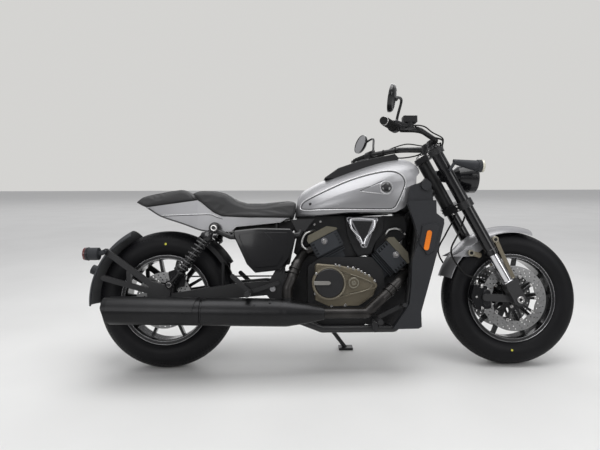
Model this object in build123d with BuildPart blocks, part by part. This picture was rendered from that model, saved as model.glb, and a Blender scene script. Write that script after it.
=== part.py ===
from build123d import *
import os
from math import sin, cos, tan, radians, sqrt

os.makedirs("parts", exist_ok=True)

# ---------------------------------------------------------------------------
# Driving sizes, mm.  The bike is drawn upright: X forward from the rear axle,
# Y to its left, Z up from the floor.  It is leaned on its stand at the end.
# ---------------------------------------------------------------------------
LEAN = 9.0                 # degrees, to the left
WHEELBASE = 1580.0
RAKE = 28.0                # degrees, of the fork and the steering axis
FORK_OFFSET = 38.0         # steering axis behind the legs
SEAT = 0.3                 # a fixed piece beside the one that carries it
RUN = 0.3                  # a turning piece beside its shaft
CLEAR = 5.5                # moving pieces beside others

FRONT_TYRE_R = 307.5
FRONT_TYRE_W = 130.0
REAR_TYRE_R = 312.0
REAR_TYRE_W = 146.0
CROWN_R = 78.0             # both treads, so both touch the floor in the same lean
BEAD_R = 190.5
FLANGE_R = 202.0
FLANGE_T = 6.0
FRONT_BEAD = 44.5          # half the width between the rim flanges
REAR_BEAD = 55.0
AXLE_R = 10.0
DISC_T = 5.0
FRONT_DISC_R = 148.0
REAR_DISC_R = 125.0
FRONT_DISC_Y = 68.0
REAR_DISC_Y = 82.0
FRONT_HUB = 62.0           # half lengths of the hubs
REAR_HUB = 72.0
SPOKES = 5                 # forked spokes of each wheel

LEG_Y = 105.0              # fork legs from the middle
UPPER_TUBE_R = 27.0
LOWER_TUBE_R = 21.0
LEG_TOP = 778.0            # along the fork, up from the axle
LEG_STEP = 244.0           # where the chrome tube enters the black one
CLAMP_TOP = 87.0           # top of the axle clamps
CLAMP_W = 52.0
YOKE_LOW = 468.0
YOKE_HIGH = 742.0
YOKE_LOW_T = 34.0
YOKE_HIGH_T = 26.0
STEM_R = 16.0
HEAD_TUBE_R = 30.0
BAR_R = 11.0
GRIP_R = 17.0

ARM_IN = 95.0              # swingarm's inner and outer faces from the middle
ARM_OUT = 125.0
PIVOT = (485.0, 365.0)     # swingarm pivot, X and Z
PIVOT_R = 12.0
CRANK = (812.0, 347.0)     # crankshaft, X and Z
CASE_Y = 105.0             # half width of the crankcase
CASE_FLOOR = 202.0
BANKS = (("rear_cylinder", 27.0, 300.0), ("front_cylinder", -48.5, 322.0))
HEAD_Y = 100.0             # half width of the cylinder heads
MUFFLER_R = 57.0
MUFFLER_Y = -205.0
PIPE_R = 22.0
SHOCK_Y = 150.0
SHOCK_TOP = (230.0, 631.0)
SHOCK_LOW = (39.0, 386.0)
RAIL_Y = 130.0
RAIL_R = 11.0
TUBE_R = 16.0
STAND_PIVOT = Vector(720.0, 150.0, 205.0)
STAND_AXIS = Vector(0.092, 0.903, 0.420)
STAND_PIN_R = 7.0
STAND_FOOT = (840.0, 198.0)     # middle of the foot, X and Y
FOOT_T = 12.0

REAR_AXLE = (0.0, 0.0, REAR_TYRE_R)
FRONT_AXLE = (WHEELBASE, 0.0, FRONT_TYRE_R)
FORK = Plane(origin=FRONT_AXLE, x_dir=(cos(radians(RAKE)), 0, sin(radians(RAKE))),
             z_dir=(-sin(radians(RAKE)), 0, cos(radians(RAKE))))
pieces = {}


# ---------------------------------------------------------------------------
# Ways of drawing that many pieces share
# ---------------------------------------------------------------------------
def side(y):
    """The side view, X forward and Z up, at y to the left; it extrudes to the right."""
    return Plane.XZ.offset(-y)


def fore(*point):
    """A point given from the front axle: ahead and up, or ahead, left and up."""
    if len(point) == 2:
        return (FRONT_AXLE[0] + point[0], FRONT_AXLE[2] + point[1])
    return (FRONT_AXLE[0] + point[0], point[1], FRONT_AXLE[2] + point[2])


def about(axle, radius, angle):
    """A side-view point at this radius and angle (degrees from straight ahead) about an axle."""
    return (axle[0] + radius * cos(radians(angle)), axle[2] + radius * sin(radians(angle)))


def radial(axle, angle):
    """A plane through an axle, across on its x and outward at this angle on its y."""
    a = radians(angle)
    return Plane(origin=axle, x_dir=(0, 1, 0), z_dir=(sin(a), 0, -cos(a)))


def tube(route, radius, bend):
    """A round bar along a bent route, added to the part being built."""
    with BuildLine() as path:
        FilletPolyline(*route, radius=bend)
    with BuildSketch(Plane(origin=path.line @ 0, z_dir=path.line % 0)) as section:
        Circle(radius)
    sweep(section.sketch, path=path.line)


def rod(start, end, radius):
    """A straight round bar between two points, added to the part being built."""
    run = Vector(*end) - Vector(*start)
    with BuildSketch(Plane(origin=start, z_dir=run)) as section:
        Circle(radius)
    extrude(section.sketch, amount=run.length)


def slab(outline, y, thickness, mode=Mode.ADD, corner=0):
    """A plate with this side outline, from y to the right by its thickness."""
    with BuildSketch(side(y)) as face:
        with BuildLine():
            Polyline(*outline, close=True)
        make_face()
        if corner:
            fillet(face.vertices(), corner)
    extrude(face.sketch, amount=thickness, mode=mode)


def link(start, end, radius, y, thickness):
    """A plate with round ends between two side-view points."""
    with BuildSketch(side(y)) as face:
        with Locations(start, end):
            Circle(radius)
        make_hull()
    extrude(face.sketch, amount=thickness)


# ---------------------------------------------------------------------------
# Wheels
# ---------------------------------------------------------------------------
def tyre(axle, radius, width, bead, shoulder):
    with BuildPart() as part:
        with BuildSketch(radial(axle, 0)):
            with BuildLine():
                inner = BEAD_R + SEAT
                edge = bead - SEAT
                drop = radius - CROWN_R + sqrt(CROWN_R**2 - shoulder**2)
                middle = (FLANGE_R + drop) / 2
                Polyline((edge, FLANGE_R + 1), (edge, inner), (-edge, inner), (-edge, FLANGE_R + 1))
                ThreePointArc((edge, FLANGE_R + 1), (width / 2, middle), (shoulder, drop))
                ThreePointArc((shoulder, drop), (0, radius), (-shoulder, drop))
                ThreePointArc((-edge, FLANGE_R + 1), (-width / 2, middle), (-shoulder, drop))
            make_face()
        revolve(axis=Axis(axle, (0, 1, 0)))
    return part


def cast_rim(axle, bead, hub):
    """A cast wheel: rim, forked spokes and hub in one piece."""
    rim_in = BEAD_R - 10
    with BuildPart() as part:
        with BuildSketch(radial(axle, 0)):
            with BuildLine():
                Polyline((bead, BEAD_R), (bead, FLANGE_R), (bead + FLANGE_T, FLANGE_R),
                         (bead + FLANGE_T, BEAD_R - 6), (bead - 14, rim_in), (14 - bead, rim_in),
                         (-bead - FLANGE_T, BEAD_R - 6), (-bead - FLANGE_T, FLANGE_R),
                         (-bead, FLANGE_R), (-bead, BEAD_R), close=True)
            make_face()
        revolve(axis=Axis(axle, (0, 1, 0)))
        wheel = Plane(origin=axle, x_dir=(1, 0, 0), z_dir=(0, -1, 0))
        with BuildSketch(wheel.offset(-hub)):
            Circle(36)
        extrude(amount=2 * hub)
        for number in range(SPOKES):
            for fork_side in (-1, 1):
                turn = 90 + number * 360 / SPOKES + fork_side * 13
                root = 90 + number * 360 / SPOKES + fork_side * 20
                with BuildSketch(wheel.offset(-13)):
                    with Locations((28 * cos(radians(root)), 28 * sin(radians(root)))):
                        Circle(9)
                    with Locations(((rim_in + 2) * cos(radians(turn)), (rim_in + 2) * sin(radians(turn)))):
                        Circle(6)
                    make_hull()
                extrude(amount=26)
        with BuildSketch(wheel.offset(-hub)):
            Circle(AXLE_R + RUN)
        extrude(amount=2 * hub, mode=Mode.SUBTRACT)
    return part


def disc(axle, radius, y, hub, reach):
    """A brake disc with its five-armed carrier, which seats on the hub's end."""
    inward = 1 if y < 0 else -1
    centre = Vector(*axle) + Vector(0, y, 0)
    face = Plane(origin=centre, x_dir=(1, 0, 0), z_dir=(0, inward, 0))
    with BuildPart() as part:
        with BuildSketch(face.offset(-DISC_T / 2)):
            Circle(radius)
            Circle(radius - 46, mode=Mode.SUBTRACT)
        extrude(amount=DISC_T)
        with BuildSketch(face.offset(-DISC_T / 2)):
            Circle(48)
            with PolarLocations((radius - 18) / 2, 5):
                Rectangle(radius - 50, 15)
        extrude(amount=DISC_T)
        with BuildSketch(face.offset(-DISC_T / 2)):
            Circle(48)
        extrude(amount=DISC_T / 2 + reach)
        with BuildSketch(face.offset(-DISC_T / 2)):
            Circle(23)
        extrude(amount=DISC_T + reach, mode=Mode.SUBTRACT)
    return part


pieces["front_tyre"] = tyre(FRONT_AXLE, FRONT_TYRE_R, FRONT_TYRE_W, FRONT_BEAD, 56)
pieces["rear_tyre"] = tyre(REAR_AXLE, REAR_TYRE_R, REAR_TYRE_W, REAR_BEAD, 64)
pieces["front_rim"] = cast_rim(FRONT_AXLE, FRONT_BEAD, FRONT_HUB)
pieces["rear_rim"] = cast_rim(REAR_AXLE, REAR_BEAD, REAR_HUB)

with BuildPart() as front_discs:
    for y in (-FRONT_DISC_Y, FRONT_DISC_Y):
        add(disc(FRONT_AXLE, FRONT_DISC_R, y, FRONT_HUB, FRONT_DISC_Y - FRONT_HUB).part)
pieces["front_discs"] = front_discs
pieces["rear_disc"] = disc(REAR_AXLE, REAR_DISC_R, -REAR_DISC_Y, REAR_HUB, REAR_DISC_Y - REAR_HUB)

# The belt's two pulleys: centre X and Z, radius
REAR_PULLEY = (0.0, REAR_TYRE_R, 92.0)
FRONT_PULLEY = (645.0, 368.0, 36.0)
BELT_T = 6.0
BELT_Y = 93.0
BELT_W = 14.0
with BuildPart() as rear_pulley:
    with BuildSketch(side(BELT_Y)):
        with Locations(REAR_PULLEY[:2]):
            Circle(REAR_PULLEY[2])
            Circle(AXLE_R + 8, mode=Mode.SUBTRACT)
            with PolarLocations(58, 6):
                Circle(17, mode=Mode.SUBTRACT)
    extrude(amount=BELT_Y - REAR_HUB)
pieces["rear_pulley"] = rear_pulley

with BuildPart() as front_axle:
    rod((WHEELBASE, -LEG_Y - 31, FRONT_TYRE_R), (WHEELBASE, LEG_Y + 31, FRONT_TYRE_R), AXLE_R)
    for turn in (-1, 1):
        rod((WHEELBASE, turn * (FRONT_HUB + SEAT), FRONT_TYRE_R),
            (WHEELBASE, turn * (LEG_Y - CLAMP_W / 2 - SEAT), FRONT_TYRE_R), 17)
        rod((WHEELBASE, turn * (LEG_Y + CLAMP_W / 2 + SEAT), FRONT_TYRE_R),
            (WHEELBASE, turn * (LEG_Y + 31), FRONT_TYRE_R), 16)
    with BuildSketch(side(LEG_Y + 31)):
        with Locations((WHEELBASE, FRONT_TYRE_R)):
            Circle(6)
    extrude(amount=2 * (LEG_Y + 31), mode=Mode.SUBTRACT)
pieces["front_axle"] = front_axle

with BuildPart() as rear_axle:
    rod((0, -ARM_OUT - 21, REAR_TYRE_R), (0, ARM_OUT + 21, REAR_TYRE_R), AXLE_R)
    for turn in (-1, 1):
        rod((0, turn * (REAR_HUB + SEAT), REAR_TYRE_R), (0, turn * (ARM_IN - SEAT), REAR_TYRE_R), 17)
        rod((0, turn * (ARM_OUT + 18 + 2 * SEAT), REAR_TYRE_R), (0, turn * (ARM_OUT + 21), REAR_TYRE_R), 17)
    with BuildSketch(side(ARM_OUT + 21)):
        with Locations(REAR_AXLE[::2]):
            Circle(6)
    extrude(amount=2 * (ARM_OUT + 21), mode=Mode.SUBTRACT)
pieces["rear_axle"] = rear_axle

# ---------------------------------------------------------------------------
# Fork, bars and all that steers
# ---------------------------------------------------------------------------
with BuildPart() as fork_uppers:
    for y in (-LEG_Y, LEG_Y):
        with BuildSketch(FORK.offset(LEG_STEP)):
            with Locations((0, y)):
                Circle(UPPER_TUBE_R)
        extrude(amount=LEG_TOP - LEG_STEP)
    chamfer(fork_uppers.edges().group_by(Axis.Z)[-1], 2)
pieces["fork_uppers"] = fork_uppers

STAY_OUT = 86.0            # outer face of the fender stays
STAY_FOOT = fore(-3, 84.5)
CALIPER_IN = 56.5          # the front calipers' inner and outer faces
CALIPER_OUT = 93.0
with BuildPart() as fork_lowers:
    for y in (-LEG_Y, LEG_Y):
        with BuildSketch(FORK.offset(CLAMP_TOP - 10)):
            with Locations((0, y)):
                Circle(LOWER_TUBE_R)
        extrude(amount=LEG_STEP - CLAMP_TOP + 10)
        clamp = radians(RAKE)
        link(fore(0, 0), fore(-sin(clamp) * (CLAMP_TOP - 20), cos(clamp) * (CLAMP_TOP - 20)), 27,
             y + CLAMP_W / 2, CLAMP_W)
        link(fore(0, 0), fore(-140, 8.5), 16, LEG_Y if y > 0 else -CALIPER_OUT - SEAT, LEG_Y - CALIPER_OUT - SEAT)
        link(fore(0, 40), STAY_FOOT, 11, LEG_Y if y > 0 else -STAY_OUT - SEAT, LEG_Y - STAY_OUT - SEAT)
    with BuildSketch(side(LEG_Y + 31)):
        with Locations((WHEELBASE, FRONT_TYRE_R)):
            Circle(AXLE_R + SEAT)
    extrude(amount=2 * (LEG_Y + 31), mode=Mode.SUBTRACT)
pieces["fork_lowers"] = fork_lowers


def yoke(level, thickness, stem_hole):
    """A clamp across both legs and the stem, with its two holes for the legs."""
    with BuildSketch(FORK.offset(level)) as plan:
        with Locations((0, -LEG_Y), (0, LEG_Y)):
            Circle(UPPER_TUBE_R + 9)
        with Locations((-FORK_OFFSET, 0)):
            Circle(34)
        make_hull()
        with Locations((0, -LEG_Y), (0, LEG_Y)):
            Circle(UPPER_TUBE_R + SEAT, mode=Mode.SUBTRACT)
        if stem_hole:
            with Locations((-FORK_OFFSET, 0)):
                Circle(STEM_R + SEAT, mode=Mode.SUBTRACT)
    extrude(plan.sketch, amount=thickness)


BAR_MIDDLE = fore(-346, 0, 722.5)
with BuildPart() as lower_yoke:
    yoke(YOKE_LOW, YOKE_LOW_T, False)
    with BuildSketch(FORK.offset(YOKE_LOW)):
        with Locations((-FORK_OFFSET, 0)):
            Circle(STEM_R)
    extrude(amount=YOKE_HIGH + YOKE_HIGH_T + 6 - YOKE_LOW)

with BuildPart() as upper_yoke:
    yoke(YOKE_HIGH, YOKE_HIGH_T, True)
    for y in (-42, 42):
        with BuildSketch(FORK.offset(YOKE_HIGH + YOKE_HIGH_T)):
            with Locations((8, y)):
                Rectangle(44, 30)
        with BuildSketch(FORK.offset(820)):
            with Locations((32, y)):
                Rectangle(34, 30)
        loft()
    with BuildSketch(side(80)):
        with Locations((BAR_MIDDLE[0], BAR_MIDDLE[2])):
            Circle(BAR_R + SEAT)
    extrude(amount=160, mode=Mode.SUBTRACT)
with BuildPart() as yokes:
    add(lower_yoke.part)
    add(upper_yoke.part)
pieces["yokes"] = yokes

BAR_ROUTE = [BAR_MIDDLE, fore(-346, 90, 722.5), fore(-450, 195, 744.5), fore(-570, 262, 734.5), fore(-650, 408, 722.5)]
GRIP_IN, GRIP_OUT = Vector(*BAR_ROUTE[3]), Vector(*BAR_ROUTE[4])
GRIP_RUN = (GRIP_OUT - GRIP_IN).normalized()


def mirrored(route, hand):
    return [(x, hand * y, z) for x, y, z in route]


def across(vector, hand):
    return Vector(vector.X, hand * vector.Y, vector.Z)


with BuildPart() as handlebar:
    for hand in (1, -1):
        tube(mirrored(BAR_ROUTE, hand), BAR_R, 38)
pieces["handlebar"] = handlebar

with BuildPart() as grips:
    for hand in (1, -1):
        start = across(GRIP_IN + GRIP_RUN * 56, hand)
        with BuildSketch(Plane(origin=start, z_dir=across(GRIP_RUN, hand))) as ring:
            Circle(GRIP_R)
            Circle(BAR_R + SEAT, mode=Mode.SUBTRACT)
        extrude(ring.sketch, amount=110)
        cap = across(GRIP_OUT + GRIP_RUN * SEAT, hand)
        with BuildSketch(Plane(origin=cap, z_dir=across(GRIP_RUN, hand))) as end:
            Circle(15)
        extrude(end.sketch, amount=16)
pieces["grips"] = grips

with BuildPart() as controls:
    for hand in (1, -1):
        along = across(GRIP_RUN, hand)
        start = across(GRIP_IN + GRIP_RUN * 16, hand)
        with BuildSketch(Plane(origin=start, z_dir=along)) as switch:
            Circle(23)
            Circle(BAR_R + SEAT, mode=Mode.SUBTRACT)
        extrude(switch.sketch, amount=38)
        ahead = Vector(0.80, 0.60 * hand, 0)
        perch = across(GRIP_IN + GRIP_RUN * 30, hand) + ahead * 20
        pivot = across(GRIP_IN, hand) + ahead * 58
        rod(perch, pivot, 9)
        tip = across(GRIP_OUT - GRIP_RUN * 12, hand) + ahead * 46 + Vector(0, 0, -8)
        rod(pivot, tip, 6)
        with BuildSketch(Plane(origin=pivot - Vector(0, 0, 12), z_dir=(0, 0, 1))) as pot:
            Circle(18)
        extrude(pot.sketch, amount=24)
    with BuildSketch(Plane(origin=across(GRIP_IN, -1) + Vector(0.80, -0.60, 0) * 58 + Vector(0, 0, 12),
                           z_dir=(0, 0, 1))) as reservoir:
        Rectangle(56, 38)
    extrude(reservoir.sketch, amount=26)
pieces["controls"] = controls

MIRROR = fore(-618, 392, 817.5)
with BuildPart() as mirrors:
    for hand in (1, -1):
        tube([fore(-572, hand * 266, 747), fore(-568, hand * 280, 782), fore(-566, hand * 330, 838),
              (MIRROR[0] + 6, hand * (MIRROR[1] - 6), MIRROR[2] + 14)], 6, 16)
        glass = Plane(origin=(MIRROR[0], hand * MIRROR[1], MIRROR[2]), x_dir=(0, 1, 0), z_dir=(1, 0, 0))
        with BuildSketch(glass.offset(-8)) as shell:
            Ellipse(72, 52)
        extrude(shell.sketch, amount=22)
pieces["mirrors"] = mirrors

# Brake hoses and clutch cable: stiff, clipped at both ends, and turning with the fork
HOSE_R = 4.0
CABLE_R = 3.5
CALIPER_TOP = (-172, 63.4)


def at_fork(ahead, left, up):
    """A point given along the fork, from the front axle."""
    return tuple(FORK.from_local_coords((ahead, left, up)))


def over_yoke(hand, radius):
    """The last stretch of a hose, over the top yoke and down its front face."""
    front = UPPER_TUBE_R + 9 + SEAT + radius
    return [at_fork(front + 3, hand * 124, 792), at_fork(front + 16, hand * 84, 776),
            at_fork(front, hand * 70, YOKE_HIGH + 18), at_fork(front, hand * 70, YOKE_HIGH + 4)]


with BuildPart() as hoses:
    tube([fore(-498, -291, 734), fore(-470, -262, 722), fore(-407, -200, 714)] + over_yoke(-1, HOSE_R), HOSE_R, 9)
    tube([fore(-496, 284, 730), fore(-440, 225, 706), fore(-376, 150, 702)] + over_yoke(1, CABLE_R), CABLE_R, 9)
    for hand in (1, -1):
        tube([at_fork(-8, hand * 66, YOKE_LOW - SEAT), at_fork(-8, hand * 66, YOKE_LOW - 30),
              fore(-252, hand * 86, 300), fore(-290, hand * 90, 212), fore(-236, hand * 90, 120),
              fore(CALIPER_TOP[0], hand * 80, 90), fore(CALIPER_TOP[0], hand * 80, CALIPER_TOP[1])], HOSE_R, 12)
pieces["hoses"] = hoses

LAMP = fore(-186, 0, 562.5)
LAMP_R = 72.0
with BuildPart() as headlight:
    with BuildSketch(Plane(origin=LAMP, x_dir=(1, 0, 0), z_dir=(0, -1, 0))):
        with BuildLine():
            Polyline((44, 0), (44, LAMP_R - 6), (36, LAMP_R), (10, LAMP_R), (-40, LAMP_R - 16), (-70, 30), (-70, 0))
            Line((-70, 0), (44, 0))
        make_face()
    revolve(axis=Axis(LAMP, (1, 0, 0)))
    for hand in (1, -1):
        link(fore(-240, 562.5), fore(-322, 577.5), 15, hand * 58 + 4, 8)
        rod(fore(-290, hand * 54, 569.5), fore(-290, hand * (LEG_Y - UPPER_TUBE_R - SEAT), 569.5), 10)
pieces["headlight"] = headlight

with BuildPart() as front_indicators:
    for hand in (1, -1):
        centre = fore(-174, hand * 152, 593.5)
        with BuildSketch(Plane(origin=centre, x_dir=(0, 1, 0), z_dir=(-1, 0, 0)).offset(-13)) as lens:
            Circle(27.5)
        extrude(lens.sketch, amount=26)
        with BuildSketch(Plane(origin=centre, x_dir=(0, 1, 0), z_dir=(-1, 0, 0)).offset(13)) as wide:
            Circle(25)
        with BuildSketch(Plane(origin=fore(-290, hand * 146, 614.5), x_dir=(0, 1, 0), z_dir=(-1, 0, 0))) as narrow:
            Circle(11)
        loft([wide.sketch, narrow.sketch])
        rod(fore(-284, hand * 146, 611.5), fore(-307, hand * 146, 577.5), 7)
        rod(fore(-307, hand * 152, 577.5), fore(-307, hand * (LEG_Y + UPPER_TUBE_R + SEAT), 577.5), 7)
pieces["front_indicators"] = front_indicators

FENDER_GAP = 22.5          # between the tread's top and the fender
FENDER_T = 4.0
FENDER_Y = 74.0
FENDER_RIM = FRONT_TYRE_R - 7.5     # the fender's lower edges
fender_top = FRONT_TYRE_R + FENDER_GAP + FENDER_T
with BuildPart() as front_fender:
    with BuildSketch(radial(FRONT_AXLE, 162)):
        with BuildLine():
            lip = FENDER_Y - FENDER_T
            Polyline((FENDER_Y, FENDER_RIM), (FENDER_Y, FENDER_RIM + 4))
            ThreePointArc((FENDER_Y, FENDER_RIM + 4), (0, fender_top), (-FENDER_Y, FENDER_RIM + 4))
            Polyline((-FENDER_Y, FENDER_RIM + 4), (-FENDER_Y, FENDER_RIM), (-lip, FENDER_RIM))
            ThreePointArc((-lip, FENDER_RIM), (0, fender_top - FENDER_T), (lip, FENDER_RIM))
            Line((lip, FENDER_RIM), (FENDER_Y, FENDER_RIM))
        make_face()
    revolve(axis=Axis(FRONT_AXLE, (0, 1, 0)), revolution_arc=90)
    skirt = [about(FRONT_AXLE, FENDER_RIM + outward, angle)
             for outward, angle in ((3, 105.3), (39, 145.5), (-18, 137.4), (-33, 133.7), (-31, 111.8), (-38, 105.1))]
    for y in (FENDER_Y, FENDER_T - FENDER_Y):
        slab(skirt, y, FENDER_T)
pieces["front_fender"] = front_fender

with BuildPart() as fender_stays:
    stay_t = STAY_OUT - FENDER_Y - SEAT
    for y in (STAY_OUT, -FENDER_Y - SEAT):
        link(STAY_FOOT, about(FRONT_AXLE, FENDER_RIM - 19, 107), 9, y, stay_t)
        link(about(FRONT_AXLE, FENDER_RIM - 14, 133.4), about(FRONT_AXLE, FENDER_RIM - 46, 129), 11, y, stay_t)
pieces["fender_stays"] = fender_stays

with BuildPart() as front_calipers:
    for hand in (1, -1):
        slab([fore(-176, -49.5), fore(-114, -41.5), fore(-118, 12.5), fore(-132, 58.5), fore(-190, 64.5),
              fore(-204, 8.5)], CALIPER_OUT if hand > 0 else -CALIPER_IN, CALIPER_OUT - CALIPER_IN, corner=8)
    for hand in (1, -1):
        middle = hand * FRONT_DISC_Y
        slot = side(middle + DISC_T / 2 + CLEAR)
        with BuildSketch(slot):
            with Locations((WHEELBASE, FRONT_TYRE_R)):
                Circle(FRONT_DISC_R + CLEAR)
        extrude(amount=DISC_T + 2 * CLEAR, mode=Mode.SUBTRACT)
pieces["front_calipers"] = front_calipers

# ---------------------------------------------------------------------------
# Frame
# ---------------------------------------------------------------------------
# The spine's tube, from the head tube back over the engine
SPINE_R = 30.0
SPINE_FRONT = fore(-460, 0, 427.5)
SPINE_REAR = (620.0, 0.0, 700.0)
SPINE_SLOPE = (SPINE_FRONT[2] - SPINE_REAR[2]) / (SPINE_FRONT[0] - SPINE_REAR[0])
TUNNEL_Y = 42.0            # half width of the tank's tunnel over the spine
RAIL_Z = 598.0
# Cross tubes under the seat: X, Z, top of the posts that carry the tail cowl
SEAT_CROSS = ((276.0, 600.5, 615.6), (500.0, RAIL_Z, 653.3))
SEAT_CROSS_R = 9.0


def spine_z(x):
    """Height of the spine's middle line at x."""
    return SPINE_REAR[2] + (x - SPINE_REAR[0]) * SPINE_SLOPE


with BuildPart() as frame_spine:
    with BuildSketch(FORK.offset(YOKE_LOW + YOKE_LOW_T + 2)):
        with Locations((-FORK_OFFSET, 0)):
            Circle(HEAD_TUBE_R)
    extrude(amount=YOKE_HIGH - YOKE_LOW - YOKE_LOW_T - 4)
    tube([fore(-358, 0, 542.5), SPINE_FRONT, SPINE_REAR], SPINE_R, 60)
    for x in (700, 1040):
        rod((x, SEAT - TUNNEL_Y, spine_z(x)), (x, TUNNEL_Y - SEAT, spine_z(x)), 12)
    for x, z, post_top in SEAT_CROSS:
        rod((x, -RAIL_Y, z), (x, RAIL_Y, z), SEAT_CROSS_R)
        for y in (-90, 90):
            rod((x, y, z), (x, y, post_top), 6)
    for hand in (1, -1):
        tube([(640, hand * 12, 690), (600, hand * RAIL_Y, RAIL_Z + 2), (300, hand * RAIL_Y, RAIL_Z - 6),
              (SHOCK_TOP[0] + 12, hand * RAIL_Y, SHOCK_TOP[1] - 14)], RAIL_R, 14)
        slab([(566, 668), (672, 672), (645, 640), (628, 616), (592, 616)], hand * 112 + 4, 8)
        rod((SHOCK_TOP[0], hand * (RAIL_Y - 10), SHOCK_TOP[1]), (SHOCK_TOP[0], hand * (RAIL_Y + 6), SHOCK_TOP[1]), 26)
        rod((SHOCK_TOP[0], hand * RAIL_Y, SHOCK_TOP[1]), (SHOCK_TOP[0], hand * (SHOCK_Y + 22), SHOCK_TOP[1]), 8)
    with BuildSketch(FORK.offset(YOKE_LOW)):
        with Locations((-FORK_OFFSET, 0)):
            Circle(STEM_R + RUN)
    extrude(amount=YOKE_HIGH - YOKE_LOW, mode=Mode.SUBTRACT)
pieces["frame_spine"] = frame_spine

with BuildPart() as frame_cradle:
    for hand in (1, -1):
        tube([fore(-352, hand * 24, 492.5), fore(-430, hand * 118, 392.5), fore(-450, hand * 124, 252.5),
              fore(-480, hand * 124, 92.5), fore(-508, hand * 122, -57.5), fore(-560, hand * 122, -121.5),
              (700, hand * 122, 186), (560, hand * 122, 240), (545, hand * 122, 430)], TUBE_R, 20)
        rod((520, hand * RAIL_Y, 430), (578, hand * RAIL_Y, 592), 10)
    rod((1000, -122, 186), (1000, 122, 186), 10)
    for y in (-ARM_OUT - SEAT, ARM_OUT + 12 + SEAT):
        slab([(455, 340), (470, 400), (500, 452), (536, 452), (545, 340), (540, 300), (500, 290)], y, 12, corner=10)
    with BuildSketch(side(ARM_OUT + 20)):
        with Locations(PIVOT):
            Circle(PIVOT_R + SEAT)
    extrude(amount=2 * (ARM_OUT + 20), mode=Mode.SUBTRACT)
    rod(STAND_PIVOT - STAND_AXIS * 34, STAND_PIVOT + STAND_AXIS * 12, STAND_PIN_R)
    add(frame_spine.part, mode=Mode.SUBTRACT)
pieces["frame_cradle"] = frame_cradle


with BuildPart() as swingarm:
    for y in (-ARM_IN, ARM_OUT):
        slab([(-58, 292), (-58, 336), (61, 349), (293, 384), (440, 396), (490, 392), (510, 368),
              (490, 338), (300, 322), (60, 284)], y, ARM_OUT - ARM_IN, corner=8)
    with BuildSketch(side(ARM_IN)):
        with Locations((372, 358)):
            Circle(24)
    extrude(amount=2 * ARM_IN)
    with BuildSketch(side(ARM_OUT)):
        with Locations(PIVOT):
            Circle(18)
    extrude(amount=2 * ARM_OUT)
    with BuildSketch(side(ARM_OUT)):
        with Locations(PIVOT):
            Circle(PIVOT_R + SEAT)
        with Locations(REAR_AXLE[::2]):
            Circle(AXLE_R + SEAT)
    extrude(amount=2 * ARM_OUT, mode=Mode.SUBTRACT)
    for hand in (1, -1):
        boss_y = hand * (ARM_OUT - 12)
        rod((SHOCK_LOW[0], boss_y, SHOCK_LOW[1] - 60), (SHOCK_LOW[0], boss_y, SHOCK_LOW[1]), 11)
        rod((SHOCK_LOW[0], hand * (ARM_OUT - 22), SHOCK_LOW[1]), (SHOCK_LOW[0], hand * (SHOCK_Y + 22), SHOCK_LOW[1]), 8)
pieces["swingarm"] = swingarm

with BuildPart() as swingarm_pivot:
    rod((PIVOT[0], -ARM_OUT - 26, PIVOT[1]), (PIVOT[0], ARM_OUT + 26, PIVOT[1]), PIVOT_R)
pieces["swingarm_pivot"] = swingarm_pivot

SHOCK_LENGTH = sqrt((SHOCK_TOP[0] - SHOCK_LOW[0])**2 + (SHOCK_TOP[1] - SHOCK_LOW[1])**2)
SPRING_FOOT = 78.0         # along the shock from its lower eye
SPRING_HEAD = 250.0
SPRING_R = 22.0
SPRING_WIRE = 4.5
SPRING_TURNS = 8
with BuildPart() as shocks:
    for hand in (1, -1):
        low = Vector(SHOCK_LOW[0], hand * SHOCK_Y, SHOCK_LOW[1])
        high = Vector(SHOCK_TOP[0], hand * SHOCK_Y, SHOCK_TOP[1])
        line = Plane(origin=low, x_dir=(0, 1, 0), z_dir=high - low)
        # Stepped body: start and end along the shock, radius
        for start, end, radius in ((14, SPRING_FOOT - 8, 12), (SPRING_FOOT - 8, SPRING_FOOT, 28),
                                   (SPRING_FOOT, 180, 14), (180, SPRING_HEAD, 9), (SPRING_HEAD, SPRING_HEAD + 22, 27),
                                   (SPRING_HEAD + 22, SHOCK_LENGTH - 14, 12)):
            with BuildSketch(line.offset(start)) as body:
                Circle(radius)
            extrude(body.sketch, amount=end - start)
        travel = SPRING_HEAD - SPRING_FOOT
        with BuildLine(line.offset(SPRING_FOOT)) as coil:
            Helix(pitch=travel / SPRING_TURNS, height=travel, radius=SPRING_R)
        with BuildSketch(Plane(origin=coil.line @ 0, z_dir=coil.line % 0)) as wire:
            RegularPolygon(SPRING_WIRE, 8)
        sweep(wire.sketch, path=coil.line, is_frenet=True)
        for eye in (low, high):
            with BuildSketch(side(eye.Y + 5.5)) as ring:
                with Locations((eye.X, eye.Z)):
                    Circle(18)
            extrude(ring.sketch, amount=11)
        for eye in (low, high):
            with BuildSketch(side(eye.Y + 16)) as hole:
                with Locations((eye.X, eye.Z)):
                    Circle(8 + SEAT)
            extrude(hole.sketch, amount=32, mode=Mode.SUBTRACT)
pieces["shocks"] = shocks

# ---------------------------------------------------------------------------
# Engine and what is bolted to it
# ---------------------------------------------------------------------------
with BuildPart() as engine_case:
    slab([(640, 240), (640, 460), (700, 500), (925, 500), (975, 440), (985, 360), (960, 260), (900, CASE_FLOOR),
          (690, CASE_FLOOR)], CASE_Y, 2 * CASE_Y, corner=14)
    slab([(600, 290), (700, 290), (700, 446), (600, 446)], CASE_Y + 1, CASE_Y + 1 - 66, mode=Mode.SUBTRACT)
    with BuildSketch(side(BELT_Y)):
        with Locations(FRONT_PULLEY[:2]):
            Circle(FRONT_PULLEY[2])
    extrude(amount=BELT_Y - 66)
pieces["engine_case"] = engine_case


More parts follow.
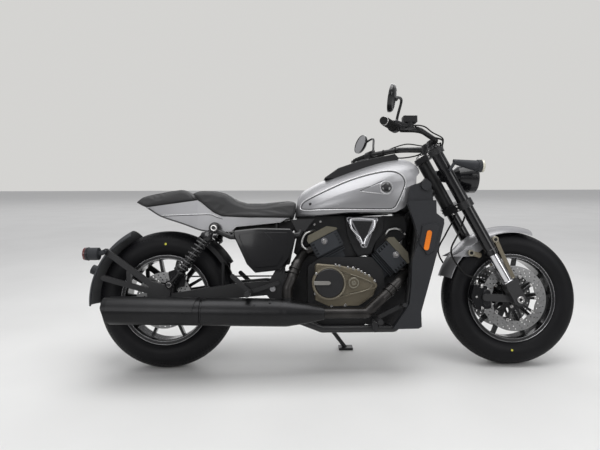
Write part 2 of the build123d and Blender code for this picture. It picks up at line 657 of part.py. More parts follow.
def bank(tilt):
    """A cylinder's side view: across it on x, up along it on y, from the crankshaft."""
    t = radians(tilt)
    return Plane(origin=(CRANK[0], 0, CRANK[1]), x_dir=(cos(t), 0, sin(t)), z_dir=(0, -1, 0))


BARREL_FOOT = 140.0        # up the cylinder from the crankshaft
HEAD_H = 104.0             # a head with its rocker cover
BAND_T = 34.0              # height of the rocker cover
FIN_T = 4.0
FIN_STEP = 9.0
FINS = 3
PANEL_T = 12.0             # how far a head's side panel stands out
HEAD_BACK = -48.0          # the head's ends across the cylinder
HEAD_AHEAD = 88.0
BANK_MIDDLE = (HEAD_BACK + HEAD_AHEAD) / 2
for name, tilt, height in BANKS:
    view = bank(tilt)
    head_top = height - BAND_T
    head_foot = height - HEAD_H
    with BuildPart() as cylinder:
        with BuildSketch(view.offset(-HEAD_Y + 22)):
            with Locations((BANK_MIDDLE, (BARREL_FOOT + head_foot) / 2)):
                Rectangle(HEAD_AHEAD - HEAD_BACK - 32, head_foot - BARREL_FOOT)
        extrude(amount=2 * HEAD_Y - 44)
        # Cooling fins round the barrel
        with BuildSketch(view.offset(-HEAD_Y + 6)):
            with Locations(*[(BANK_MIDDLE, head_foot - FIN_STEP * (fin + 0.5)) for fin in range(FINS)]):
                Rectangle(HEAD_AHEAD - HEAD_BACK - 8, FIN_T)
        extrude(amount=2 * HEAD_Y - 12)
        with BuildSketch(view.offset(-HEAD_Y)):
            with Locations((BANK_MIDDLE, (head_foot + head_top) / 2)):
                Rectangle(HEAD_AHEAD - HEAD_BACK, head_top - head_foot)
        extrude(amount=2 * HEAD_Y)
        # Side panels, with short ribs at both ends and a boss for the bolt
        for face_at in (HEAD_Y, -HEAD_Y - PANEL_T):
            with BuildSketch(view.offset(face_at)):
                with Locations((BANK_MIDDLE, (head_foot + head_top) / 2 - 2)):
                    Rectangle(HEAD_AHEAD - HEAD_BACK - 36, head_top - head_foot - 2)
                    for rib in (-2, -1, 0, 1, 2):
                        with Locations((0, rib * 15)):
                            Rectangle(HEAD_AHEAD - HEAD_BACK - 10, 7)
            extrude(amount=PANEL_T)
        add(engine_case.part, mode=Mode.SUBTRACT)
    pieces[name] = cylinder

with BuildPart() as head_bands:
    for name, tilt, height in BANKS:
        view = bank(tilt)
        foot = height - BAND_T + SEAT
        with BuildSketch(view.offset(-HEAD_Y - 6)):
            with BuildLine():
                Polyline((HEAD_BACK - 4, foot), (HEAD_BACK - 4, height - 16), (HEAD_BACK + 10, height),
                         (HEAD_AHEAD - 32, height), (HEAD_AHEAD + 4, foot + 8), (HEAD_AHEAD + 4, foot), close=True)
            make_face()
        extrude(amount=2 * HEAD_Y + 12)
pieces["head_bands"] = head_bands

# The V-shaped intake cover between the cylinders
INTAKE = [(812, 681), (968, 677), (944, 636), (908, 541), (886, 541), (834, 636)]
INTAKE_Y = 86.0
with BuildPart() as intake_cover:
    slab(INTAKE, INTAKE_Y, 2 * INTAKE_Y, corner=9)
    for hand in (1, -1):
        with BuildSketch(side(hand * INTAKE_Y)) as face:
            with BuildLine():
                Polyline(*INTAKE, close=True)
            make_face()
            offset(amount=-3)
            fillet(face.vertices(), 7)
        extrude(face.sketch, amount=-hand * 26, taper=16)
    boss_x = 890
    rod((boss_x, 0, 660), (boss_x, 0, spine_z(boss_x - 14) - SPINE_R - SEAT), 14)
pieces["intake_cover"] = intake_cover

CLUTCH = (731.0, 388.0)
CLUTCH_R = 64.0
FILLER = (837.0, 389.0)
COVER_Y = -CASE_Y - SEAT
COVER_TIP = (924.0, 377.0)
COVER_T = 34.0
RIM_T = 12.0               # how far the teardrop rim stands out
with BuildPart() as clutch_cover:
    slab([(671, 474), (786, 463), (865, 445), (919, 414), (946, 378), (924, 330), (863, 288), (730, 286), (669, 314)],
         COVER_Y, COVER_T, corner=14)
    chamfer(clutch_cover.faces().sort_by(Axis.Y)[0].edges(), 5)
    with BuildSketch(side(COVER_Y - COVER_T)):
        with Locations(CLUTCH):
            Circle(75)
        with Locations(COVER_TIP):
            Circle(15)
        make_hull()
    extrude(amount=RIM_T)
    with BuildSketch(side(COVER_Y - COVER_T - RIM_T)) as hollow:
        with Locations(CLUTCH):
            Circle(69)
        with Locations(COVER_TIP):
            Circle(8)
        make_hull()
        with Locations(CLUTCH):
            Circle(73, mode=Mode.SUBTRACT)
        with Locations(FILLER):
            Circle(25, mode=Mode.SUBTRACT)
    extrude(hollow.sketch, amount=-RIM_T + 3, mode=Mode.SUBTRACT)
    with BuildSketch(side(COVER_Y - COVER_T - RIM_T)) as filler:
        with Locations(FILLER):
            Circle(16)
            Circle(10, mode=Mode.SUBTRACT)
    extrude(filler.sketch, amount=5)
    with BuildSketch(side(COVER_Y - COVER_T - RIM_T)) as ring:
        with Locations(CLUTCH):
            Circle(73)
            Circle(CLUTCH_R, mode=Mode.SUBTRACT)
    extrude(ring.sketch, amount=6)
pieces["clutch_cover"] = clutch_cover

with BuildPart() as clutch_disc:
    disc_face = COVER_Y - COVER_T - RIM_T - SEAT
    with BuildSketch(side(disc_face)):
        with Locations(CLUTCH):
            Circle(CLUTCH_R - SEAT)
    extrude(amount=9)
    chamfer(clutch_disc.faces().sort_by(Axis.Y)[0].edges(), 4)
    with BuildSketch(side(disc_face - 9)) as bar:
        with Locations((CLUTCH[0] - 26, CLUTCH[1])):
            SlotOverall(70, 20)
    extrude(bar.sketch, amount=4)
pieces["clutch_disc"] = clutch_disc

with BuildPart() as generator_cover:
    slab([(700, 470), (860, 470), (925, 400), (925, 320), (860, 262), (720, 262), (690, 300), (690, 440)],
         CASE_Y + SEAT + 36, 36, corner=16)
    chamfer(generator_cover.faces().sort_by(Axis.Y)[-1].edges(), 8)
    with BuildSketch(side(CASE_Y + SEAT + 46)):
        with Locations(CRANK):
            Circle(62)
    extrude(amount=10)
pieces["generator_cover"] = generator_cover

with BuildPart() as belly_pan:
    slab([(692, CASE_FLOOR - SEAT), (684, 168), (862, 170), (888, 190), (896, CASE_FLOOR - SEAT)], 90, 180,
         corner=3)
pieces["belly_pan"] = belly_pan

SHROUD_Y = 178.0
SHROUD_T = 26.0
FACET_T = 7.0              # raised facet that carries the reflector
WING_IN = 148.0            # upper wing beside the head tube
WING_OUT = 164.0
with BuildPart() as radiator:
    slab([fore(-404, 382.5), fore(-380, 382.5), fore(-392, 252.5), fore(-440, 22.5), fore(-462, 22.5),
          fore(-420, 252.5)], SHROUD_Y - SHROUD_T - SEAT, 2 * (SHROUD_Y - SHROUD_T - SEAT))
    for hand in (1, -1):
        rod(fore(-416, hand * 124, 252.5), fore(-433, hand * 124, 252.5), 8)
        rod(fore(-440, hand * 124, 122.5), fore(-457, hand * 124, 122.5), 8)
    add(frame_cradle.part, mode=Mode.SUBTRACT)
pieces["radiator"] = radiator

with BuildPart() as radiator_shroud:
    for y in (SHROUD_Y, SHROUD_T - SHROUD_Y):
        slab([fore(-506, 435.5), fore(-380, 439.5), fore(-380, 382.5), fore(-348, 356.5), fore(-348, 335.5),
              fore(-376, 228.5), fore(-414, 96.5), fore(-456, -43.5), fore(-455, -106.5), fore(-470, -114.5),
              fore(-580, -115.5), fore(-506, -9.5), fore(-496, 75.5), fore(-490, 181.5), fore(-457, 267.5)],
             y, SHROUD_T, corner=3)
    for hand in (1, -1):
        slab([fore(-500, 436), fore(-488, 505), fore(-450, 517), fore(-414, 538), fore(-396, 500), fore(-388, 430)],
             WING_OUT if hand > 0 else -WING_IN, WING_OUT - WING_IN, corner=6)
        with BuildSketch(side(hand * SHROUD_Y)) as raised:
            with BuildLine():
                Polyline(fore(-446, 330), fore(-392, 340), fore(-366, 330), fore(-396, 218), fore(-428, 200),
                         fore(-462, 250), close=True)
            make_face()
        extrude(raised.sketch, amount=-hand * FACET_T, taper=20)
        with BuildSketch(side(hand * WING_OUT)) as pod:
            with Locations(fore(-421, 506)):
                Circle(22)
        extrude(pod.sketch, amount=-hand * 10)
pieces["radiator_shroud"] = radiator_shroud

with BuildPart() as reflectors:
    for y in (-SHROUD_Y - FACET_T - SEAT, SHROUD_Y + FACET_T + SEAT + 4):
        link(fore(-417, 296.5), fore(-431, 232.5), 11, y, 4)
pieces["reflectors"] = reflectors

MUFFLER_AXIS = Plane(origin=(-214, MUFFLER_Y, 284.5), x_dir=(0, 1, 0), z_dir=(916, 0, -19))
COLLAR = (548.0, MUFFLER_Y, 268.0)
with BuildPart() as muffler:
    muffler_length = 918.0
    with BuildSketch(Plane(origin=MUFFLER_AXIS.origin, x_dir=MUFFLER_AXIS.z_dir, z_dir=(0, -1, 0))):
        with BuildLine():
            Polyline((30, 0), (30, 40), (0, 44), (0, MUFFLER_R), (400, MUFFLER_R), (402, MUFFLER_R - 4),
                     (408, MUFFLER_R - 4), (410, MUFFLER_R), (760, MUFFLER_R), (860, 40), (muffler_length, 27),
                     (muffler_length, 0), close=True)
        make_face()
    revolve(axis=Axis(MUFFLER_AXIS.origin, MUFFLER_AXIS.z_dir))
    # Heat shield over the outer and upper side
    with BuildSketch(Plane(origin=MUFFLER_AXIS.origin, x_dir=MUFFLER_AXIS.z_dir, z_dir=(0, -1, 0))) as shield:
        with BuildLine():
            Polyline((424, MUFFLER_R - 2), (424, MUFFLER_R + 3), (730, MUFFLER_R + 3), (752, MUFFLER_R - 2), close=True)
        make_face()
    with Locations(Location((0, 0, 0))):
        revolve(shield.sketch, axis=Axis(MUFFLER_AXIS.origin, MUFFLER_AXIS.z_dir), revolution_arc=110)
    rod(COLLAR, (COLLAR[0], COLLAR[1], 332), PIPE_R + 3)
    slab([(-260, 350), (-232, 350), (-180, 210), (-260, 210)], MUFFLER_Y + 70, 140, mode=Mode.SUBTRACT)
pieces["muffler"] = muffler

with BuildPart() as front_header:
    end = MUFFLER_AXIS.origin + MUFFLER_AXIS.z_dir * (muffler_length + 1)
    tube([(1061.5, -70, 449.9), (1082, -70, 426.7), (1034, -150, 394), (954, -192, 326), (884, -204, end.Z), tuple(end)],
         PIPE_R, 24)


with BuildPart() as rear_header:
    tube([(660, -70, 538.9), (624.4, -70, 520.7), (590, -160, 474), (566, -196, 410), (COLLAR[0], COLLAR[1], 372),
          (COLLAR[0], COLLAR[1], 332 + SEAT)], PIPE_R, 24)
with BuildPart() as exhaust_pipes:
    for foot, head in (((590, -160, 474), (566, -196, 410)), ((1034, -150, 394), (954, -192, 326))):
        run = Vector(*head) - Vector(*foot)
        for share in (0.32, 0.62):
            middle = Vector(*foot) + run * share
            rod(tuple(middle), tuple(middle + run.normalized() * 9), PIPE_R + 4)
    add(front_header.part)
    add(rear_header.part)
pieces["exhaust_pipes"] = exhaust_pipes

# ---------------------------------------------------------------------------
# Bodywork
# ---------------------------------------------------------------------------
# Tank sections: X, half width at the bottom, bottom Z, half width, shoulder Z, top Z
TANK = ((585, 60, 684, 70, 720, 775), (680, 108, 684, 122, 745, 842), (820, 138, 696, 150, 790, 897),
        (1000, 138, 696, 152, 830, 956), (1170, 90, 690, 112, 850, 945))
TANK_SIDE = [(584, 684), (598, 771), (626, 808), (721, 861), (783, 882), (873, 910), (956, 943), (1022, 956),
             (1080, 955), (1121, 939), (1150, 905), (1150, 880), (1132, 860), (1126, 820), (1101, 765), (1069, 718),
             (1030, 699), (824, 699), (660, 686)]
with BuildPart() as tank:
    for x, low, floor, wide, shoulder, top in TANK:
        with BuildSketch(Plane.YZ.offset(x)):
            with BuildLine():
                Line((-low, floor), (low, floor))
                ThreePointArc((low, floor), (wide, (floor + shoulder) / 2), (wide * 0.96, shoulder))
                ThreePointArc((wide * 0.96, shoulder), (wide * 0.60, (shoulder + 2 * top) / 3 - 2), (0, top))
                ThreePointArc((0, top), (-wide * 0.60, (shoulder + 2 * top) / 3 - 2), (-wide * 0.96, shoulder))
                ThreePointArc((-wide * 0.96, shoulder), (-wide, (floor + shoulder) / 2), (-low, floor))
            make_face()
    loft()
    slab(TANK_SIDE, 180, 360, mode=Mode.INTERSECT)
    slab([(560, 660), (560, 745), (1200, 790), (1200, 660)], TUNNEL_Y, 2 * TUNNEL_Y, mode=Mode.SUBTRACT)
pieces["tank"] = tank

with BuildPart() as tank_console:
    slab([(716, 862), (787, 912), (873, 941), (1051, 978), (1070, 958), (1060, 940), (956, 925), (873, 890),
          (783, 862)], 52, 104, corner=3)
    chamfer(tank_console.edges().filter_by(Axis.Y, reverse=True).group_by(Axis.Z)[-1], 2)
    add(tank.part, mode=Mode.SUBTRACT)
pieces["tank_console"] = tank_console

SEAT_LINE = [(161, 750), (221, 701), (260, 684), (362, 679), (503, 677), (562, 676)]
with BuildPart() as rider_seat:
    slab(SEAT_LINE + [(579, 684), (590, 752), (583, 762), (553, 760), (439, 749), (367, 749), (325, 761), (265, 796),
                      (223, 806), (169, 808), (122, 802)], 125, 250)
    chamfer(rider_seat.faces().sort_by(Axis.Y)[0].edges(), 12)
    chamfer(rider_seat.faces().sort_by(Axis.Y)[-1].edges(), 12)
pieces["rider_seat"] = rider_seat

PAD_LINE = [(-88, 728), (150, 757)]
with BuildPart() as pillion_pad:
    slab(PAD_LINE + [(112, 800), (97, 812), (73, 818), (-105, 783), (-136, 757)], 98, 196)
    chamfer(pillion_pad.faces().sort_by(Axis.Y)[0].edges(), 10)
    chamfer(pillion_pad.faces().sort_by(Axis.Y)[-1].edges(), 10)
pieces["pillion_pad"] = pillion_pad

with BuildPart() as tail_cowl:
    top = [(x, z - SEAT) for x, z in PAD_LINE + SEAT_LINE]
    slab(top + [(545, 672), (519, 656), (322, 637), (299, 617), (248, 615), (178, 618), (-17, 684), (-80, 722)],
         117, 234)
    with BuildSketch(Plane.XY.offset(600)):
        with BuildLine():
            Polyline((-100, -84), (150, -112), (560, -117), (560, 117), (150, 112), (-100, 84), close=True)
        make_face()
    extrude(amount=200, mode=Mode.INTERSECT)
pieces["tail_cowl"] = tail_cowl

COVER_IN = RAIL_Y + RAIL_R + SEAT
with BuildPart() as side_covers:
    for y in (-COVER_IN, COVER_IN + 22):
        slab([(312, 618), (422, 629), (562, 626), (587, 592), (556, 495), (519, 446), (410, 435), (374, 472),
              (318, 593)], y, 22, corner=10)
    chamfer(side_covers.faces().sort_by(Axis.Y)[0].edges(), 5)
    chamfer(side_covers.faces().sort_by(Axis.Y)[-1].edges(), 5)
    for hand in (1, -1):
        with BuildSketch(side(hand * (COVER_IN + 22))) as panel:
            with BuildLine():
                Polyline((340, 604), (424, 612), (548, 610), (562, 590), (534, 508), (504, 464), (416, 456), (386, 486),
                         (342, 586), close=True)
            make_face()
            fillet(panel.vertices(), 8)
        extrude(panel.sketch, amount=-hand * 4, taper=35)
pieces["side_covers"] = side_covers

with BuildPart() as battery_box:
    box_top = RAIL_Z - SEAT_CROSS_R - SEAT
    slab([(356, box_top), (586, box_top), (560, 470), (420, 440), (380, 500)], RAIL_Y - RAIL_R - SEAT,
         2 * (RAIL_Y - RAIL_R - SEAT), corner=8)
pieces["battery_box"] = battery_box

REAR_FENDER_R = 356.0
with BuildPart() as rear_fender:
    with BuildSketch(radial(REAR_AXLE, 184)):
        with BuildLine():
            Polyline((92, 322), (92, 326))
            ThreePointArc((92, 326), (0, REAR_FENDER_R), (-92, 326))
            Polyline((-92, 326), (-92, 322), (-88, 322))
            ThreePointArc((-88, 322), (0, REAR_FENDER_R - 4), (88, 322))
            Line((88, 322), (92, 322))
        make_face()
    revolve(axis=Axis(REAR_AXLE, (0, 1, 0)), revolution_arc=66)
pieces["rear_fender"] = rear_fender

with BuildPart() as hugger:
    with BuildSketch(radial(REAR_AXLE, 62)):
        with BuildLine():
            Polyline((86, 300), (86, 320))
            ThreePointArc((86, 320), (0, 340), (-86, 320))
            Polyline((-86, 320), (-86, 300), (-82, 300), (-82, 318))
            ThreePointArc((-82, 318), (0, 336), (82, 318))
            Polyline((82, 318), (82, 300), (86, 300))
        make_face()
    revolve(axis=Axis(REAR_AXLE, (0, 1, 0)), revolution_arc=32)
    for hand in (1, -1):
        rod((262, hand * 84, 474), (262, hand * 102, 474), 5)
        rod((262, hand * 102, 482), (262, hand * 102, 380.3), 7)
pieces["hugger"] = hugger

with BuildPart() as fender_bracket:
    for hand in (1, -1):
        y = hand * (ARM_OUT + 6) + 6 + hand * SEAT
        link((-241, 531), (-35, 379), 13, y, 12)
        link((-250, 416), (-43, 355), 12, y, 12)
        link((-143, 440), (-139, 392), 9, y, 12)
        link((-35, 379), (21, 361), 20, y, 12)
        link((-43, 345), (21, 345), 18, y, 12)
        link((0, 325), (0, 345), 20, y, 12)
        for x, z in ((-241, 531), (-250, 416)):
            rod((x, hand * (ARM_OUT + 1), z), (x, hand * 92.5, z), 9)
    with BuildSketch(side(ARM_OUT + 20)):
        with Locations(REAR_AXLE[::2]):
            Circle(AXLE_R + SEAT)
    extrude(amount=2 * (ARM_OUT + 20), mode=Mode.SUBTRACT)
pieces["fender_bracket"] = fender_bracket

with BuildPart() as rear_lamps:
    for hand in (1, -1):
        rod((-322, hand * 158, 521), (-262, hand * 158, 521), 27)
        rod((-262, hand * 158, 521), (-240, hand * 158, 529), 11)
        rod((-241, hand * 158, 531), (-241, hand * (ARM_OUT + 12 + 2 * SEAT), 531), 8)
    rod((-332.6, 0, 440.3), (-356, 0, 449.3), 22)
pieces["rear_lamps"] = rear_lamps

with BuildPart() as rear_caliper:
    slab([(30, 372), (88, 372), (98, 420), (60, 452), (18, 440)], -REAR_DISC_Y + 10 + 4, 27, corner=8)
    with BuildSketch(side(-REAR_DISC_Y + DISC_T / 2 + CLEAR)):
        with Locations(REAR_AXLE[::2]):
            Circle(REAR_DISC_R + CLEAR)
    extrude(amount=DISC_T + 2 * CLEAR, mode=Mode.SUBTRACT)
    bracket = -ARM_IN + SEAT + 5
    link((56, 400), REAR_AXLE[::2], 24, bracket, 5)
    with BuildSketch(side(-REAR_HUB)):
        with Locations(REAR_AXLE[::2]):
            Circle(17 + SEAT)
    extrude(amount=ARM_IN - REAR_HUB, mode=Mode.SUBTRACT)
pieces["rear_caliper"] = rear_caliper

with BuildPart() as drive_belt:
    with BuildSketch(side(BELT_Y)):
        with Locations(REAR_PULLEY[:2]):
            Circle(REAR_PULLEY[2] + BELT_T + 1)
        with Locations(FRONT_PULLEY[:2]):
            Circle(FRONT_PULLEY[2] + BELT_T + SEAT)
        make_hull()
    extrude(amount=BELT_W)
    with BuildSketch(side(BELT_Y)):
        with Locations(REAR_PULLEY[:2]):
            Circle(REAR_PULLEY[2] + 1)
        with Locations(FRONT_PULLEY[:2]):
            Circle(FRONT_PULLEY[2] + SEAT)
        make_hull()
    extrude(amount=BELT_W, mode=Mode.SUBTRACT)
pieces["drive_belt"] = drive_belt

with BuildPart() as foot_controls:
    for hand in (1, -1):
        rod((930, hand * 139, 236), (930, hand * 270, 236), 12)
        link((930, 236), (930, 186), 12, hand * 143.3 + 5, 10)
        rod((500, hand * (ARM_OUT + 12 + 2 * SEAT), 392), (500, hand * 156, 392), 7)
        rod((385, hand * 150, 352), (385, hand * 270, 352), 12)
        arm = hand * 158 + 6
        link((385, 352), (312, 421), 10, arm, 12)
        link((385, 352), (507, 390), 9, arm, 12)
        link((936, 236), (1046, 290), 9, hand * 150 + 5, 10)
        rod((1046, hand * 146, 290), (1046, hand * 214, 298), 9)
pieces["foot_controls"] = foot_controls

lift = CROWN_R * (1 - cos(radians(LEAN)))     # brings the leaned tyres down to the floor
foot_z = (STAND_FOOT[1] * sin(radians(LEAN)) + FOOT_T / 2 - lift) / cos(radians(LEAN))
with BuildPart() as side_stand:
    rod(STAND_PIVOT - STAND_AXIS * 6, STAND_PIVOT + STAND_AXIS * 8, STAND_PIN_R + 8)
    tube([STAND_PIVOT + Vector(6, 2, -8), STAND_PIVOT + Vector(46, 26, -70), (STAND_FOOT[0], STAND_FOOT[1], foot_z)],
         10, 30)
    with Locations(Location((STAND_FOOT[0], STAND_FOOT[1], foot_z), (LEAN, 0, 0))):
        Box(70, 44, FOOT_T)
    with BuildSketch(Plane(origin=STAND_PIVOT - STAND_AXIS * 20, z_dir=STAND_AXIS)) as bore:
        Circle(STAND_PIN_R + RUN)
    extrude(bore.sketch, amount=44, mode=Mode.SUBTRACT)
pieces["side_stand"] = side_stand

# ---------------------------------------------------------------------------
# Hand in: lean every piece about its tyres' line, then put the origin under its middle
# ---------------------------------------------------------------------------
leaned = Location((0, 0, lift), (-LEAN, 0, 0))
extent = Compound(children=[piece.part.moved(leaned) for piece in pieces.values()]).bounding_box()
parked = Location((-(extent.min.X + extent.max.X) / 2, -(extent.min.Y + extent.max.Y) / 2, 0)) * leaned
for name, piece in pieces.items():
    piece.part.label = name
    piece.part.location = parked
    export_step(piece.part, f"parts/{name}.step")
print("extent", extent, "origin shift", parked.position)
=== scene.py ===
import math

import bmesh
import bpy
from mathutils import Matrix, Vector
from mathutils.bvhtree import BVHTree


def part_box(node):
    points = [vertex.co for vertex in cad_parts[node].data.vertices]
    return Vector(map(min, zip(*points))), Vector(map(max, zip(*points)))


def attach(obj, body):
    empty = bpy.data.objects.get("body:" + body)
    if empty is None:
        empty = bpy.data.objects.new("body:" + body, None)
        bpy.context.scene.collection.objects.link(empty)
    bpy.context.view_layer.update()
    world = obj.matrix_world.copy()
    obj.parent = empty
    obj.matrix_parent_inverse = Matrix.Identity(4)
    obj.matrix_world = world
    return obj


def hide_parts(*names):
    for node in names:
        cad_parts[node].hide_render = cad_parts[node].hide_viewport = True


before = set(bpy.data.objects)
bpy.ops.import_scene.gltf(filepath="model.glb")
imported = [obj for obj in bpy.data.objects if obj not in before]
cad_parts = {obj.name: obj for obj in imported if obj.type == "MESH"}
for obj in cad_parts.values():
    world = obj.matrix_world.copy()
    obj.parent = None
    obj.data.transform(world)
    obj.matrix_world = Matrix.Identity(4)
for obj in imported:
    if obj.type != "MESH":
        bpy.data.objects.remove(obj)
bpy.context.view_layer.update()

# --- The bike's own frame: mm, X forward from the rear axle, Y to its left, Z up ---
# PARKED takes it to the row frame, leaned on its stand, in metres.
LEAN = math.radians(9)
CROWN_R = 78
WHEELBASE = 1580
FRONT_R = 307.5
REAR_R = 312
FRONT_AXLE = Vector((WHEELBASE, 0, FRONT_R))
REAR_AXLE = Vector((0, 0, REAR_R))
LIFT = CROWN_R * (1 - math.cos(LEAN))


lean_turn = Matrix.Rotation(-LEAN, 4, "X")
leaned_axle = lean_turn @ FRONT_AXLE
axle_low, axle_high = (Vector(corner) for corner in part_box("front_axle"))
middle = (axle_low + axle_high) / 2 * 1000
SHIFT = Vector((middle.x - leaned_axle.x, middle.y - leaned_axle.y, LIFT))
PARKED = Matrix.Scale(0.001, 4) @ Matrix.Translation(SHIFT) @ lean_turn
RAKE = math.radians(28)
FORK_AHEAD = Vector((math.cos(RAKE), 0, math.sin(RAKE)))
FORK_UP = Vector((-math.sin(RAKE), 0, math.cos(RAKE)))


def fork_point(ahead, left, up):
    """A point given along the fork: ahead of the legs' plane, to the left, up from the axle."""
    return FRONT_AXLE + FORK_AHEAD * ahead + Vector((0, left, 0)) + FORK_UP * up


# --- Materials ---
def new_material(name):
    material = bpy.data.materials.new(name)
    material.use_nodes = True
    shader = material.node_tree.nodes["Principled BSDF"]
    return material, material.node_tree, shader


def noise(tree, scale, detail=3, stretch=None):
    coord = tree.nodes.new("ShaderNodeTexCoord")
    texture = tree.nodes.new("ShaderNodeTexNoise")
    texture.inputs["Scale"].default_value = scale
    texture.inputs["Detail"].default_value = detail
    texture.inputs["Roughness"].default_value = 0.5
    source = coord.outputs["Object"]
    if stretch:
        mapping = tree.nodes.new("ShaderNodeMapping")
        mapping.inputs["Scale"].default_value = stretch
        tree.links.new(source, mapping.inputs["Vector"])
        source = mapping.outputs["Vector"]
    tree.links.new(source, texture.inputs["Vector"])
    return texture.outputs["Fac"]


def spread(tree, source, low, high, from_low=0.3, from_high=0.7):
    """A factor remapped to run from low to high."""
    node = tree.nodes.new("ShaderNodeMapRange")
    node.inputs["From Min"].default_value = from_low
    node.inputs["From Max"].default_value = from_high
    node.inputs["To Min"].default_value = low
    node.inputs["To Max"].default_value = high
    tree.links.new(source, node.inputs["Value"])
    return node.outputs["Result"]


def mix_colour(tree, factor, first, second):
    node = tree.nodes.new("ShaderNodeMix")
    node.data_type = "RGBA"
    node.inputs[6].default_value = (*first, 1)
    node.inputs[7].default_value = (*second, 1)
    tree.links.new(factor, node.inputs[0])
    return node.outputs[2]


def bump(tree, shader, height, strength, distance):
    node = tree.nodes.new("ShaderNodeBump")
    node.inputs["Strength"].default_value = strength
    node.inputs["Distance"].default_value = distance
    tree.links.new(height, node.inputs["Height"])
    tree.links.new(node.outputs["Normal"], shader.inputs["Normal"])


BUMP_STRENGTH = 0.4


def finish_material(name, colour, rough, metal=0.0, vary=0.12, rough_spread=0.06, grain=900,
                    grain_depth=0.00004, coat=0.0, coat_rough=0.1, stretch=None, broad=6.0, shine=0.5):
    """A surface with broad colour variation, fine grain and a roughness that wanders a little."""
    material, tree, shader = new_material(name)
    broad_noise = noise(tree, broad, 4)
    dark = tuple(channel * (1 - vary) for channel in colour)
    light = tuple(min(1, channel * (1 + vary)) for channel in colour)
    factor = spread(tree, broad_noise, 0, 1)
    tree.links.new(mix_colour(tree, factor, dark, light), shader.inputs["Base Color"])
    fine = noise(tree, grain, 2, stretch=stretch)
    tree.links.new(spread(tree, fine, rough - rough_spread, rough + rough_spread), shader.inputs["Roughness"])
    shader.inputs["Metallic"].default_value = metal
    shader.inputs["Specular IOR Level"].default_value = shine
    shader.inputs["Coat Weight"].default_value = coat
    shader.inputs["Coat Roughness"].default_value = coat_rough
    bump(tree, shader, fine, BUMP_STRENGTH, grain_depth)
    return material


SILVER = finish_material("silver_paint", (0.30, 0.30, 0.31), 0.38, metal=0.70, vary=0.06, grain=2600,
                         grain_depth=0.00002, coat=0.35, coat_rough=0.25)
BLACK_SATIN = finish_material("black_satin_paint", (0.018, 0.018, 0.019), 0.38, vary=0.15, coat=0.2,
                              coat_rough=0.3, shine=0.3)
BLACK_GLOSS = finish_material("black_gloss_paint", (0.009, 0.009, 0.010), 0.18, vary=0.15, coat=0.4,
                              coat_rough=0.06, shine=0.25)
EXHAUST = finish_material("black_exhaust", (0.020, 0.020, 0.021), 0.33, metal=0.75, vary=0.18,
                          rough_spread=0.08, grain=500)
EXHAUST_PIPE = finish_material("header_steel", (0.036, 0.034, 0.033), 0.34, metal=0.85, vary=0.35, broad=14)
PLASTIC = finish_material("grey_black_plastic", (0.030, 0.032, 0.036), 0.52, vary=0.1, grain=1500,
                          grain_depth=0.00008, shine=0.25)
PLASTIC_DARK = finish_material("black_plastic", (0.014, 0.014, 0.015), 0.50, vary=0.15, grain=1500,
                               grain_depth=0.00008, shine=0.25)
SHROUD = finish_material("shroud_plastic", (0.024, 0.025, 0.028), 0.42, vary=0.08, grain=1500,
                         grain_depth=0.00006, shine=0.28)
CONSOLE = finish_material("console_plastic", (0.016, 0.016, 0.017), 0.42, vary=0.1, grain=1400,
                          grain_depth=0.00006, shine=0.3)
CHROME = finish_material("chrome", (0.68, 0.68, 0.70), 0.07, metal=1.0, vary=0.02, rough_spread=0.02)
STEEL = finish_material("brushed_steel", (0.48, 0.48, 0.49), 0.28, metal=1.0, vary=0.08, grain=700,
                        stretch=(1, 1, 12))
BOLT_STEEL = finish_material("bolt_steel", (0.62, 0.61, 0.60), 0.24, metal=1.0, vary=0.05)
BRONZE = finish_material("bronze_paint", (0.168, 0.146, 0.104), 0.38, metal=0.55, vary=0.14,
                         rough_spread=0.07, coat=0.2, coat_rough=0.3, shine=0.4)
HEAD_BAND = finish_material("head_band_paint", (0.130, 0.120, 0.090), 0.45, metal=0.5, vary=0.14)
CYLINDER = finish_material("cylinder_panel", (0.038, 0.041, 0.046), 0.42, metal=0.35, vary=0.12, shine=0.3)
CAST = finish_material("cast_aluminium", (0.024, 0.024, 0.025), 0.5, metal=0.5, vary=0.2, grain=420,
                       grain_depth=0.00025, shine=0.3)
RIM_PAINT = finish_material("rim_paint", (0.014, 0.014, 0.015), 0.24, metal=0.3, vary=0.15, coat=0.5,
                            coat_rough=0.12)
RUBBER = finish_material("grip_rubber", (0.012, 0.012, 0.012), 0.7, vary=0.2, grain=1200,
                         grain_depth=0.0002, shine=0.2)
RADIATOR = finish_material("radiator_fins", (0.020, 0.020, 0.021), 0.5, metal=0.4, vary=0.2, grain=300,
                           grain_depth=0.0008, stretch=(1, 1, 8))
AMBER = finish_material("amber_reflector", (0.80, 0.20, 0.012), 0.22, vary=0.12, coat=0.6, grain=500,
                        grain_depth=0.0003)
MIRROR_GLASS = finish_material("mirror_glass", (0.92, 0.92, 0.93), 0.03, metal=1.0, vary=0.01,
                               rough_spread=0.01)
BRUSHED_BLACK = finish_material("black_anodised", (0.030, 0.030, 0.032), 0.26, metal=0.7, vary=0.1)
BRONZE_PALE = finish_material("bronze_pale", (0.26, 0.24, 0.19), 0.34, metal=0.6, vary=0.1, coat=0.2,
                              coat_rough=0.25)
DOME_BLACK = finish_material("dome_black", (0.006, 0.006, 0.007), 0.08, vary=0.1, coat=1.0, coat_rough=0.03)
LENS_PALE = finish_material("lens_pale", (0.62, 0.60, 0.50), 0.15, vary=0.04, coat=0.8, coat_rough=0.05)
LENS_DARK = finish_material("lens_dark", (0.020, 0.022, 0.034), 0.08, vary=0.1, coat=1.0, coat_rough=0.03)
LENS_RED = finish_material("lens_red", (0.10, 0.012, 0.010), 0.18, vary=0.08, coat=0.8, coat_rough=0.05)
BRIGHT_PIPE = finish_material("bright_pipe", (0.55, 0.55, 0.54), 0.30, metal=0.9, vary=0.06)
